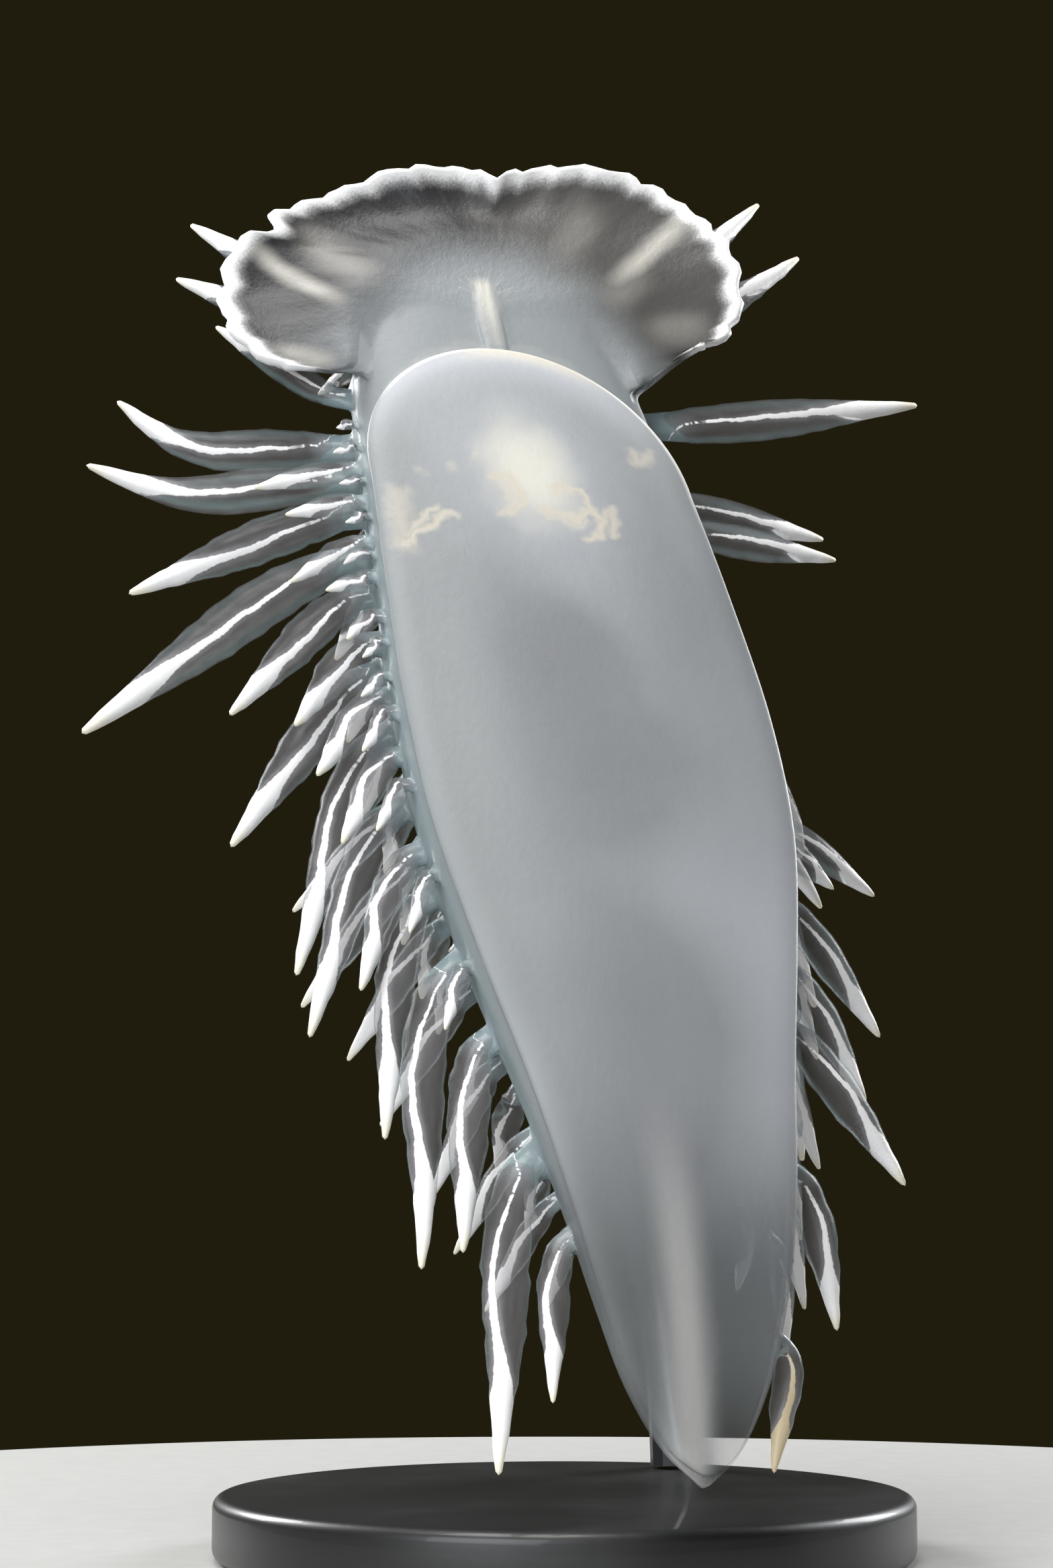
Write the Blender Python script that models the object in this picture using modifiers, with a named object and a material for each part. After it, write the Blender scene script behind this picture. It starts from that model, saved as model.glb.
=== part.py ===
"""White-lined dirona, a sea slug: a life-size display model held over a plain stand.

The slug hangs head up, its sole turned to the front, and a rod reaches its back
from behind. Sizes are millimetres in the slug's own frame and become metres when
a point is placed. That frame has three measures:
  along - from the front of the oral veil (0) to the tip of the tail (119)
  side  - from the body's axis, positive to the animal's left
  up    - from the sole (0) to the back
"""

import math
import random
from dataclasses import dataclass

import bmesh
import bpy
import numpy as np
from mathutils import Matrix, Vector

MM = 0.001
GAP = 0.3

# How the slug is held: its tilt from upright, its bank, and where its front is.
LEAN = math.radians(26.0)
BANK = math.radians(8.0)
VEIL_FRONT = np.array((-3.0, 15.0, 117.5))

BODY_LENGTH = 119.0
HEAD_FRONT = 7.5
HEAD_END = 19.6
FRONT_END = 44.0
MIDDLE_END = 72.0
REAR_END = 104.0

# The body's axis bends to the left towards the tail.
AXIS_BEND = (
    (0, -2.9), (12, -3.6), (22, -2.0), (40, 1.9), (60, 5.9), (80, 9.0), (100, 11.9), (120, 12.8),
)
HALF_WIDTH = (
    (7.5, 3.2), (9.5, 6.2), (12, 8.6), (15, 10.3), (18, 11.4), (24, 12.6), (34, 13.4), (44, 14.2),
    (56, 14.8), (66, 14.4), (77, 12.5), (88, 10.2), (98, 8.4), (106, 6.7), (112, 5.0), (116, 3.2),
    (119, 1.2),
)
HEIGHT = (
    (7.5, 5.5), (9.5, 7.6), (12, 9.4), (15, 11.2), (18, 12.8), (24, 15.0), (34, 17.3), (44, 18.3),
    (56, 18.3), (66, 17.2), (77, 14.8), (88, 12.2), (98, 9.8), (104, 8.4), (112, 5.8), (119, 2.2),
)
WIDEST_LEVEL = 0.28
BACK_SHARE = 0.5

FOOT_FRONT = 19.9
FOOT_ROUNDING = 14.1
FOOT_THICKNESS = 2.4
SOLE_CROWN = 0.35
FOOT_SPLITS = (50.0, 85.0)
SOLE_SHARES = (-0.93, -0.5, 0.0, 0.5, 0.93)
UPPER_FLOOR = FOOT_THICKNESS + GAP
HEAD_FLOOR = 1.0
HEAD_WALL = (1.9, 4.2)
TAIL_EDGE_SHARE = 0.35
CREST_HEIGHT = 1.1

# The mouth on the underside of the head.
LIP_ALONG = 15.3
LIP_SIDE = 0.8
LIP_RISE = 0.25
LIP_SIZES = (3.0, 0.85, 0.7)
SLIT_DROP = 0.2
SLIT_SIZES = (2.5, 0.3, 0.95)

# The veil's rim as seen from the mouth: degrees from straight ahead, and reach.
VEIL_CENTRE = 14.0
VEIL_RIM_LEFT = (
    (0, 12.2), (5, 13.5), (13, 14.8), (26, 16.7), (36, 18.6), (44.5, 20.2), (55.5, 21.6), (66, 22.8),
    (76, 23.1), (83, 22.7), (88, 21.8), (92.7, 19.8), (96.6, 17.5),
)
VEIL_RIM_RIGHT = (
    (0, 12.2), (4.6, 13.3), (14, 14.1), (26, 14.7), (39, 15.8), (51, 17.0), (63, 18.7), (68.5, 19.8),
    (72, 18.6), (74.5, 20.7), (80, 21.6), (88, 22.1), (100, 22.4), (108, 21.6), (112, 20.6), (116.5, 18.0),
)
VEIL_ROOT_ANGLE = 108.0
VEIL_LEVEL = 3.0
VEIL_DROP = 2.6
VEIL_BOWL = 0.9
VEIL_ROOT_HALF_THICKNESS = 0.75
VEIL_RIM_HALF_THICKNESS = 0.4
VEIL_RIPPLE = 0.35
VEIL_FOLDS = 9.0
VEIL_COLUMNS = 28
VEIL_ROWS = 5

RHINOPHORE_ALONG = 14.2
RHINOPHORE_SIDE = 3.8
RHINOPHORE_HEIGHT = 10.0
RHINOPHORE_LEAVES = 6
RHINOPHORE_ROOM = 2.8

STAND_RADIUS = 28.0
STAND_THICKNESS = 5.0
STAND_EDGE = 0.8
ROD_RADIUS = 1.8
PAD_RADIUS = 4.2
PAD_THICKNESS = 1.6
PAD_RIM = 0.5
PAD_SLOPE = 0.8
PAD_ALONG = 56.0
ROD_REACH = 13.0
ROD_UPRIGHT = 26.0
ROD_FOOT_SHIFT = 12.0
ROD_CLEARANCE = 16.0

# Each ceras: a line of points, of which the first lies sunk in the body. Its half widths and
# half depths are shares of its girth, as is the room that its neighbours leave it.
CERAS_SHARES = (0.0, 0.08, 0.22, 0.38, 0.54, 0.70, 0.84, 0.94, 1.0)
CERAS_ROOM = (0.46, 0.54, 0.82, 1.0, 0.97, 0.84, 0.62, 0.36, 0.14)
CERAS_WIDTHS = (0.72, 0.80, 0.93, 1.0, 0.92, 0.68, 0.42, 0.27, 0.13)
CERAS_DEPTHS = (0.38, 0.44, 0.66, 0.81, 0.78, 0.60, 0.38, 0.25, 0.12)
CERAS_SIDES = 6
CERAS_SINK = 1.7
CERAS_SINK_SHARE = 0.15
CERAS_TURN_SHARE = 0.4
CERAS_CLEARANCE = 0.55
BODY_CLEARANCE = 0.45
VEIL_CLEARANCE = 1.6
VEIL_SHADE = 24.5
BASE_CLEARANCE = 1.2
SPREAD_ROUNDS = 160
SPREAD_STEP = 0.6
RANDOM_SEED = 11


@dataclass
class Ceras:
    """One ceras: its root on the flank, its tip in the slug's frame, and its girth."""

    side: int
    along: float
    row: float
    tip: tuple
    girth: float
    curl: float = 0.0
    shown: bool = True


@dataclass
class Row:
    """A row of cerata that the front view hides: where it runs and how it stands."""

    side: int
    level: float
    stand: float
    start: float
    end: float
    size: float


# The cerata that the front view shows, each with the tip's place.
RIGHT_CERATA = (
    Ceras(-1, 14.2, 12, (-0.6, -25.7, 12.0), 1.7),
    Ceras(-1, 17.4, 2, (7.0, -26.1, 10.5), 1.6),
    Ceras(-1, 23.4, 2, (14.1, -22.5, 8.0), 1.5),
    Ceras(-1, 26.2, 14, (26.6, -33.6, 11.0), 1.9, 52.0),
    Ceras(-1, 26.9, -8, (27.1, -14.6, 3.9), 0.5),
    Ceras(-1, 29.1, -8, (29.9, -15.4, 3.9), 0.5),
    Ceras(-1, 30.0, 10, (33.8, -35.6, 9.0), 2.0, 34.0),
    Ceras(-1, 30.8, -4, (33.2, -22.4, 5.0), 1.1),
    Ceras(-1, 32.4, -8, (32.9, -15.5, 3.9), 0.45),
    Ceras(-1, 33.2, 8, (40.6, -33.6, 11.0), 1.8),
    Ceras(-1, 34.2, -5, (36.0, -20.4, 4.6), 1.0),
    Ceras(-1, 36.0, -8, (36.9, -15.9, 3.9), 0.5),
    Ceras(-1, 37.2, 9, (55.2, -39.5, 10.0), 2.1),
    Ceras(-1, 38.0, -5, (42.6, -21.2, 4.8), 1.0),
    Ceras(-1, 39.8, -8, (41.2, -16.9, 3.9), 0.55),
    Ceras(-1, 41.2, 6, (53.7, -27.6, 8.0), 1.6),
    Ceras(-1, 41.7, -6, (43.6, -18.6, 4.2), 0.9),
    Ceras(-1, 45.6, -7, (48.4, -17.8, 4.0), 0.8),
    Ceras(-1, 46.3, 4, (54.6, -22.6, 7.6), 1.5),
    Ceras(-1, 47.6, 14, (63.6, -28.6, 12.0), 1.8),
    Ceras(-1, 48.2, -8, (50.2, -16.9, 3.9), 0.55),
    Ceras(-1, 51.4, -7, (53.9, -17.6, 3.9), 0.65),
    Ceras(-1, 51.9, 2, (59.5, -21.6, 7.0), 1.4),
    Ceras(-1, 53.0, 14, (74.3, -24.6, 13.0), 1.7),
    Ceras(-1, 54.8, -7, (59.2, -18.4, 3.9), 0.85),
    Ceras(-1, 57.6, 0, (66.0, -20.6, 6.4), 1.3),
    Ceras(-1, 60.4, 12, (80.5, -24.4, 11.5), 1.6),
    Ceras(-1, 61.4, -7, (66.4, -18.3, 3.9), 0.85),
    Ceras(-1, 66.0, 4, (78.5, -20.6, 7.2), 1.4),
    Ceras(-1, 68.4, 14, (89.1, -19.8, 11.0), 1.6),
    Ceras(-1, 69.6, -7, (75.2, -16.8, 3.8), 0.8),
    Ceras(-1, 75.4, 8, (100.7, -18.6, 8.6), 1.7),
    Ceras(-1, 77.6, -6, (83.4, -15.2, 3.7), 0.8),
    Ceras(-1, 82.4, 6, (99.8, -15.6, 7.2), 1.6),
    Ceras(-1, 92.0, 8, (116.9, -13.7, 7.0), 1.8),
    Ceras(-1, 99.6, 2, (112.3, -10.0, 4.6), 1.2),
)
LEFT_CERATA = (
    Ceras(1, 13.6, 12, (-8.5, 26.0, 11.0), 1.7),
    Ceras(1, 17.5, 8, (-2.5, 29.5, 11.0), 1.8),
    Ceras(1, 22.4, 10, (12.6, 40.5, 12.0), 1.9),
    Ceras(1, 28.8, 14, (25.4, 30.0, 16.0), 1.7),
    Ceras(1, 32.6, 8, (30.5, 28.9, 12.0), 1.6),
    Ceras(1, 36.6, 0, (38.8, 17.2, 9.0), 1.0),
    Ceras(1, 59.6, 12, (62.8, 24.4, 14.0), 1.5),
    Ceras(1, 63.6, 2, (66.4, 19.0, 7.6), 1.2),
    Ceras(1, 67.4, 12, (76.4, 21.8, 13.0), 1.6),
    Ceras(1, 74.4, 8, (83.6, 18.6, 10.4), 1.6),
    Ceras(1, 79.6, 10, (90.3, 20.4, 11.0), 1.7),
    Ceras(1, 92.4, 6, (104.0, 12.2, 8.0), 1.4),
    Ceras(1, 107.0, 4, (116.8, 5.8, 4.6), 1.1),
)

# How the hidden rows sweep back and grow, by their place along the body.
SWEEP = ((18, -45), (30, -25), (44, 5), (58, 26), (74, 42), (100, 60))
REACH = ((18, 15), (30, 18), (50, 20), (70, 19), (86, 16), (100, 12))
HIDDEN_ROWS = (
    Row(1, 28, 58, 22.4, 99.0, 1.0),
    Row(1, 42, 74, 25.6, 99.0, 0.9),
    Row(1, 10, 62, 40.0, 58.0, 0.65),
    Row(-1, 28, 44, 58.0, 99.0, 0.85),
    Row(-1, 42, 82, 22.4, 99.0, 0.8),
)
HIDDEN_SPACING = 6.2
HIDDEN_GIRTH = 0.082
HEAD_CERATA = ((10.6, 20, -58, 34, 12.0), (15.2, 38, -40, 62, 12.0))


def on_curve(table, along):
    """Value of a smooth curve through a table's (station, value) pairs."""
    stations, values = np.array(table, dtype=float).T
    slopes = np.gradient(values, stations)
    spot = np.clip(np.asarray(along, dtype=float), stations[0], stations[-1])
    left = np.clip(np.searchsorted(stations, spot, side="right") - 1, 0, len(stations) - 2)
    step = stations[left + 1] - stations[left]
    share = (spot - stations[left]) / step
    start = (1 + 2 * share) * (1 - share) ** 2 * values[left]
    end = share**2 * (3 - 2 * share) * values[left + 1]
    lean_out = share * (1 - share) ** 2 * step * slopes[left]
    lean_in = share**2 * (share - 1) * step * slopes[left + 1]
    return start + end + lean_out + lean_in


def half_width(along):
    return on_curve(HALF_WIDTH, along)


def height(along):
    return on_curve(HEIGHT, along)


def widest_level(along):
    return WIDEST_LEVEL * height(along) + 0.6


def foot_half_width(along):
    """Half width of the sole, whose front edge is a round arc."""
    front = FOOT_FRONT + FOOT_ROUNDING
    if along >= front:
        return float(half_width(along))
    reach = (front - along) / FOOT_ROUNDING
    return float(half_width(front)) * math.sqrt(max(1.0 - reach**2, 0.004))


def slug_axes():
    """World directions of along (reversed, to the head), side and up."""
    to_head = np.array((0.0, math.sin(LEAN), math.cos(LEAN)))
    across = np.array((1.0, 0.0, 0.0))
    away = np.array((0.0, math.cos(LEAN), -math.sin(LEAN)))
    to_left = across * math.cos(BANK) + away * math.sin(BANK)
    to_back = away * math.cos(BANK) - across * math.sin(BANK)
    return to_head, to_left, to_back


TO_HEAD, TO_LEFT, TO_BACK = slug_axes()


def placed(points):
    """World places, in metres, of points (along, side, up) in the slug's frame."""
    points = np.asarray(points, dtype=float)
    bend = on_curve(AXIS_BEND, points[..., 0])
    world = VEIL_FRONT - points[..., :1] * TO_HEAD
    world = world + (points[..., 1] + bend)[..., None] * TO_LEFT + points[..., 2:] * TO_BACK
    return world * MM


def skin_point(along, side, angle):
    """Point on the upper body's skin, at an angle up from its widest line."""
    width = float(half_width(along))
    level = float(widest_level(along))
    rise = float(height(along)) - level
    return np.array((along, side * width * math.cos(angle), level + rise * math.sin(angle)))


def dome_point(along, side, angle):
    """Point on the upper body's skin, and the way straight out of it."""
    nudge = 0.05
    lengthwise = skin_point(along + nudge, side, angle) - skin_point(along - nudge, side, angle)
    upward = skin_point(along, side, angle + nudge) - skin_point(along, side, angle - nudge)
    out = -side * np.cross(lengthwise, upward)
    return skin_point(along, side, angle), out / np.linalg.norm(out)


def link_object(name, mesh, collection, material=None):
    shape = bpy.data.objects.new(name, mesh)
    collection.objects.link(shape)
    if material:
        mesh.materials.append(material)
    return shape


def mesh_of_faces(name, points, faces):
    """Mesh of world points and faces, turned to face outwards."""
    mesh = bpy.data.meshes.new(name)
    mesh.from_pydata([tuple(point) for point in points], [], faces)
    shell = bmesh.new()
    shell.from_mesh(mesh)
    bmesh.ops.recalc_face_normals(shell, faces=shell.faces)
    shell.to_mesh(mesh)
    shell.free()
    return mesh


def loft(name, rings, pointed=False):
    """Closed skin over rings of equal count, its ends capped by a fan of triangles."""
    rings = [np.asarray(ring, dtype=float) for ring in rings]
    count = len(rings[0])
    points = np.concatenate(rings)
    faces = []
    for row in range(len(rings) - 1):
        for column in range(count):
            following = (column + 1) % count
            low = row * count
            high = low + count
            faces.append((low + column, low + following, high + following, high + column))
    ends = [(rings[0].mean(axis=0), 0), (rings[-1].mean(axis=0), (len(rings) - 1) * count)]
    if pointed:
        ends[1] = (pointed_tip(rings), (len(rings) - 1) * count)
    for centre, first in ends:
        hub = len(points)
        points = np.vstack((points, centre))
        faces += [(first + column, first + (column + 1) % count, hub) for column in range(count)]
    return mesh_of_faces(name, placed(points), faces)


def pointed_tip(rings):
    """A little past the last ring's centre, so that the end is a blunt point."""
    last = rings[-1].mean(axis=0)
    ahead = last - rings[-2].mean(axis=0)
    size = np.linalg.norm(rings[-1] - last, axis=1).mean()
    return last + ahead / np.linalg.norm(ahead) * size


def stations(start, end, spacing):
    count = max(2, round((end - start) / spacing) + 1)
    return np.linspace(start, end, count)


def back_ring(along):
    """Section of the back's middle strip at one station."""
    width = float(half_width(along))
    reach = BACK_SHARE * width - GAP / 2
    level = float(widest_level(along))
    rise = float(height(along)) - level
    top = [
        (along, side, level + rise * math.sqrt(1 - (side / width) ** 2))
        for side in np.linspace(reach, -reach, 7)
    ]
    return top + [(along, side, UPPER_FLOOR) for side in (-reach, 0.0, reach)]


def flank_ring(along, side):
    """Section of one flank: its outer skin, then its flat inner wall."""
    width = float(half_width(along))
    level = float(widest_level(along))
    inner = BACK_SHARE * width + GAP / 2
    steep = math.acos(inner / width)
    ring = [(along, side * inner, UPPER_FLOOR), (along, side * 0.94 * width, UPPER_FLOOR)]
    ring.append((along, side * 0.985 * width, (UPPER_FLOOR + level) / 2))
    for share in (0.0, 0.35, 0.7, 1.0):
        ring.append(tuple(dome_point(along, side, share * steep)[0]))
    ring.append((along, side * inner, (UPPER_FLOOR + ring[-1][2]) / 2))
    return ring


def head_ring(along):
    """Whole section of the head above its underside."""
    width = float(half_width(along))
    wall_foot, wall_top = HEAD_WALL
    ring = [(along, 0.92 * width, HEAD_FLOOR), (along, width, wall_foot), (along, width, wall_top)]
    level = max(float(widest_level(along)), wall_top)
    rise = float(height(along)) - level
    for angle in (25, 50, 70, 90, 110, 130, 155):
        turn = math.radians(angle)
        ring.append((along, width * math.cos(turn), level + rise * math.sin(turn)))
    ring += [(along, -width, wall_top), (along, -width, wall_foot), (along, -0.92 * width, HEAD_FLOOR)]
    return ring + [(along, -0.4 * width, HEAD_FLOOR), (along, 0.4 * width, HEAD_FLOOR)]


def foot_ring(along):
    """Section of the foot: a crowned sole and a thin, rounded margin."""
    width = foot_half_width(along)
    sole = [(along, share * width, SOLE_CROWN * (share**2 - 1)) for share in SOLE_SHARES]
    left = [(along, width, 0.7), (along, 0.94 * width, 1.6), (along, 0.8 * width, FOOT_THICKNESS)]
    right = [(along, -side, up) for _, side, up in reversed(left)]
    return sole + left + [(along, 0.0, FOOT_THICKNESS)] + right


def tail_ring(along):
    """Whole section of the tail, with the thin crest along its back."""
    width = foot_half_width(along)
    level = float(widest_level(along))
    rise = float(height(along)) - level
    ring = [(along, share * width, SOLE_CROWN * (share**2 - 1)) for share in SOLE_SHARES]
    ring.append((along, width, TAIL_EDGE_SHARE * level))
    angles = (15, 45, 72)
    crest = (along, 0.0, level + rise + CREST_HEIGHT)
    for angle in angles:
        turn = math.radians(angle)
        ring.append((along, width * math.cos(turn), level + rise * math.sin(turn)))
    ring.append(crest)
    for angle in reversed(angles):
        turn = math.radians(angle)
        ring.append((along, -width * math.cos(turn), level + rise * math.sin(turn)))
    ring.append((along, -width, TAIL_EDGE_SHARE * level))
    return ring


def head_reach(angle):
    """Distance from the veil's centre to the head's side, along one angle."""
    reach = 4.0
    step = 0.05
    while True:
        along = VEIL_CENTRE - reach * math.cos(angle)
        if along < HEAD_FRONT or reach * math.sin(angle) > float(half_width(along)):
            return reach
        reach += step


def veil_level(angle, out):
    """Middle level of the veil: it bows towards the back, then drops to its front rim."""
    ahead = max(math.cos(angle), 0.0)
    folds = VEIL_RIPPLE * out * math.sin(VEIL_FOLDS * angle)
    return VEIL_LEVEL - VEIL_DROP * ahead * out**1.5 + VEIL_BOWL * math.sin(math.pi * out) + folds


def veil_spot(angle, reach):
    """Plan place of a point of the veil, by its angle from straight ahead and its reach."""
    return np.array((VEIL_CENTRE - reach * math.cos(angle), reach * math.sin(angle)))


def veil_mesh(name, side, rim):
    """One half of the oral veil: a thin, rippled sheet from the head out to its rim."""
    angles, reaches = np.array(rim, dtype=float).T
    angles = np.radians(angles)
    steps = np.hypot(np.diff(angles) * reaches[1:], np.diff(reaches))
    travel = np.concatenate(((0.0,), np.cumsum(steps)))
    upper = []
    lower = []
    for share in np.linspace(0.0, 1.0, VEIL_COLUMNS):
        root_angle = math.radians(VEIL_ROOT_ANGLE) * share
        rim_angle = float(np.interp(share * travel[-1], travel, angles))
        rim_reach = float(np.interp(share * travel[-1], travel, reaches))
        root_reach = head_reach(root_angle) + GAP
        root = veil_spot(root_angle, root_reach)
        edge = veil_spot(rim_angle, rim_reach)
        for out in np.linspace(0.0, 1.0, VEIL_ROWS):
            spot = root + (edge - root) * out
            level = veil_level(rim_angle, out)
            half = VEIL_ROOT_HALF_THICKNESS * (1 - out) + VEIL_RIM_HALF_THICKNESS * out
            across = side * (spot[1] + GAP / 2)
            upper.append((spot[0], across, level + half))
            lower.append((spot[0], across, level - half))
    sheet = len(upper)
    faces = []
    for column in range(VEIL_COLUMNS - 1):
        for row in range(VEIL_ROWS - 1):
            here = column * VEIL_ROWS + row
            there = here + VEIL_ROWS
            for base in (0, sheet):
                faces.append((base + here, base + here + 1, base + there + 1))
                faces.append((base + here, base + there + 1, base + there))
    border = [column * VEIL_ROWS for column in range(VEIL_COLUMNS)]
    last = (VEIL_COLUMNS - 1) * VEIL_ROWS
    border += [last + row for row in range(1, VEIL_ROWS)]
    border += [column * VEIL_ROWS + VEIL_ROWS - 1 for column in range(VEIL_COLUMNS - 2, -1, -1)]
    border += list(range(VEIL_ROWS - 2, 0, -1))
    for here, there in zip(border, border[1:] + border[:1]):
        faces.append((here, there, sheet + there))
        faces.append((here, sheet + there, sheet + here))
    return mesh_of_faces(name, placed(upper + lower), faces)


def hidden_cerata():
    """The hidden rows and the front of the head, drawn from a seeded source."""
    draw = random.Random(RANDOM_SEED)
    found = []
    for side in (-1, 1):
        for along, level, sweep, stand, reach in HEAD_CERATA:
            found.append(grown(side, along, level, sweep, stand, reach * draw.uniform(0.9, 1.1)))
    for row in HIDDEN_ROWS:
        for along in np.arange(row.start, row.end, HIDDEN_SPACING):
            spot = clear_of_ends(along + draw.uniform(-0.5, 0.5))
            sweep = float(on_curve(SWEEP, spot)) + draw.uniform(-7, 7)
            stand = row.stand + draw.uniform(-5, 5)
            reach = float(on_curve(REACH, spot)) * row.size * draw.uniform(0.87, 1.12)
            found.append(grown(row.side, spot, row.level, sweep, stand, reach))
    return found


def clear_of_ends(along):
    """A root's place, kept off the cuts between the flank's lengths."""
    for cut in (HEAD_END, FRONT_END, MIDDLE_END, REAR_END):
        if abs(along - cut) < 2.0:
            return cut + math.copysign(2.0, along - cut)
    return along


def grown(side, along, row, sweep, stand, reach):
    """A ceras given by its sweep, its stand and its reach instead of by its tip."""
    root, _ = dome_point(along, side, math.radians(row))
    sweep = math.radians(sweep)
    stand = math.radians(stand)
    level = reach * math.cos(stand)
    tip = root + (level * math.sin(sweep), side * level * math.cos(sweep), reach * math.sin(stand))
    return Ceras(side, along, row, tuple(tip), HIDDEN_GIRTH * reach, shown=False)


def ceras_line(ceras):
    """Points along a ceras: out of the skin first, round to its tip, then its curl."""
    root, out = dome_point(ceras.along, ceras.side, math.radians(ceras.row))
    sink = min(CERAS_SINK, CERAS_SINK_SHARE * float(half_width(ceras.along)))
    tip = np.array(ceras.tip)
    reach = np.linalg.norm(tip - root)
    shares = np.array(CERAS_SHARES)
    turn = np.clip(shares / CERAS_TURN_SHARE, 0.0, 1.0)
    turn = (turn**2 * (3 - 2 * turn))[:, None]
    heading = out * (1 - turn) * 0.8 + (tip - root) / reach
    heading /= np.linalg.norm(heading, axis=1)[:, None]
    steps = np.diff(shares)[:, None] * (heading[1:] + heading[:-1]) / 2 * reach
    steps += (tip - root - steps.sum(axis=0)) * np.diff(shares)[:, None]
    bend = np.radians(ceras.curl) * np.clip((shares[1:] - 0.6) / 0.3, 0.0, 1.0) * ceras.side
    curled = steps.copy()
    curled[:, 0] = steps[:, 0] * np.cos(bend) - steps[:, 1] * np.sin(bend)
    curled[:, 1] = steps[:, 0] * np.sin(bend) + steps[:, 1] * np.cos(bend)
    line = root + np.vstack((np.zeros(3), np.cumsum(curled, axis=0)))
    line[0] = root - out * sink
    return line


def kept_off_body(point_rows, girths):
    """Moves points out of the body, the veil's layer and the stand's base."""
    along = point_rows[..., 0]
    width = half_width(along) + girths + BODY_CLEARANCE
    level = widest_level(along)
    rise = height(along) - level + girths + BODY_CLEARANCE
    lift = np.maximum(point_rows[..., 2] - level, 0.0)
    reach = np.sqrt((point_rows[..., 1] / width) ** 2 + (lift / rise) ** 2)
    inside = (reach < 1.0) & (along > HEAD_FRONT - 2.0) & (along < BODY_LENGTH + 1.0)
    grow = np.where(inside, 1.0 / np.maximum(reach, 0.3), 1.0)
    point_rows[..., 1] *= grow
    point_rows[..., 2] = np.where(
        point_rows[..., 2] > level, level + lift * grow, point_rows[..., 2]
    )
    veil_top = VEIL_LEVEL + VEIL_CLEARANCE + girths
    near_veil = (along < VEIL_SHADE) & (point_rows[..., 2] < veil_top)
    point_rows[..., 2] = np.where(near_veil, veil_top, point_rows[..., 2])
    world_height = placed(point_rows)[..., 2] / MM
    short = np.maximum(STAND_THICKNESS + BASE_CLEARANCE + girths - world_height, 0.0)
    point_rows[..., 0] -= short / TO_HEAD[2]
    return point_rows


def fixed_lines():
    """Points and radii of the pieces that the cerata grow clear of."""
    points = []
    radii = []
    for side in (-1, 1):
        root, out = rhinophore_root(side)
        for step in np.linspace(0.0, RHINOPHORE_HEIGHT, 7):
            points.append(root + out * step)
            radii.append(RHINOPHORE_ROOM)
    top = float(height(PAD_ALONG)) + GAP
    for step in np.linspace(0.0, ROD_CLEARANCE, 8):
        points.append((PAD_ALONG, 0.0, top + step))
        radii.append(PAD_RADIUS)
    return np.array(points), np.array(radii)


def spread_cerata(cerata):
    """Lines of all the cerata, bent apart until none crosses another."""
    lines = np.array([ceras_line(ceras) for ceras in cerata])
    girths = np.array([ceras.girth for ceras in cerata])[:, None] * np.array(CERAS_ROOM)
    freedom = np.array([(0.35, 0.35, 1.0) if ceras.shown else (1.0, 1.0, 1.0) for ceras in cerata])
    give = np.clip((np.array(CERAS_SHARES) - 0.08) / 0.3, 0.0, 1.0)[None, :, None]
    steps = np.linalg.norm(np.diff(lines, axis=1), axis=2)
    obstacles, obstacle_radii = fixed_lines()
    count, length = girths.shape
    owner = np.repeat(np.arange(count), length)
    radii = girths.reshape(-1)
    apart = owner[:, None] != owner[None, :]
    for _ in range(SPREAD_ROUNDS):
        flat = lines.reshape(-1, 3)
        push = np.zeros_like(flat)
        between = flat[:, None, :] - flat[None, :, :]
        distance = np.linalg.norm(between, axis=2) + 1e-9
        overlap = (radii[:, None] + radii[None, :] + CERAS_CLEARANCE - distance) * apart
        overlap = np.maximum(overlap, 0.0)
        push += (between / distance[..., None] * overlap[..., None]).sum(axis=1) * 0.25
        between = flat[:, None, :] - obstacles[None, :, :]
        distance = np.linalg.norm(between, axis=2) + 1e-9
        overlap = np.maximum(radii[:, None] + obstacle_radii[None, :] + CERAS_CLEARANCE - distance, 0.0)
        push += (between / distance[..., None] * overlap[..., None]).sum(axis=1) * 0.5
        push = push.reshape(lines.shape) * freedom[:, None, :] * give
        push[:, 1:-1] = (push[:, :-2] + 2 * push[:, 1:-1] + push[:, 2:]) / 4
        lines = lines + np.clip(push * give, -SPREAD_STEP, SPREAD_STEP)
        lines[:, 2:] = kept_off_body(lines[:, 2:].copy(), girths[:, 2:])
        for joint in range(2, length):
            stretch = lines[:, joint] - lines[:, joint - 1]
            size = np.linalg.norm(stretch, axis=1)[:, None]
            lines[:, joint] = lines[:, joint - 1] + stretch / size * steps[:, joint - 1 : joint]
    return lines


def ceras_mesh(name, line, girth):
    """A ceras as a tapered, slightly flattened body along its line."""
    ahead = np.gradient(line, axis=0)
    ahead /= np.linalg.norm(ahead, axis=1)[:, None]
    across = np.cross(ahead, (0.12, 0.0, 1.0))
    across /= np.linalg.norm(across, axis=1)[:, None]
    upward = np.cross(across, ahead)
    turns = np.arange(CERAS_SIDES) * 2 * math.pi / CERAS_SIDES
    across *= girth * np.array(CERAS_WIDTHS)[:, None]
    upward *= girth * np.array(CERAS_DEPTHS)[:, None]
    rings = [
        spot + np.outer(np.cos(turns), wide) + np.outer(np.sin(turns), deep)
        for spot, wide, deep in zip(line, across, upward)
    ]
    return loft(name, rings, pointed=True)


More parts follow.
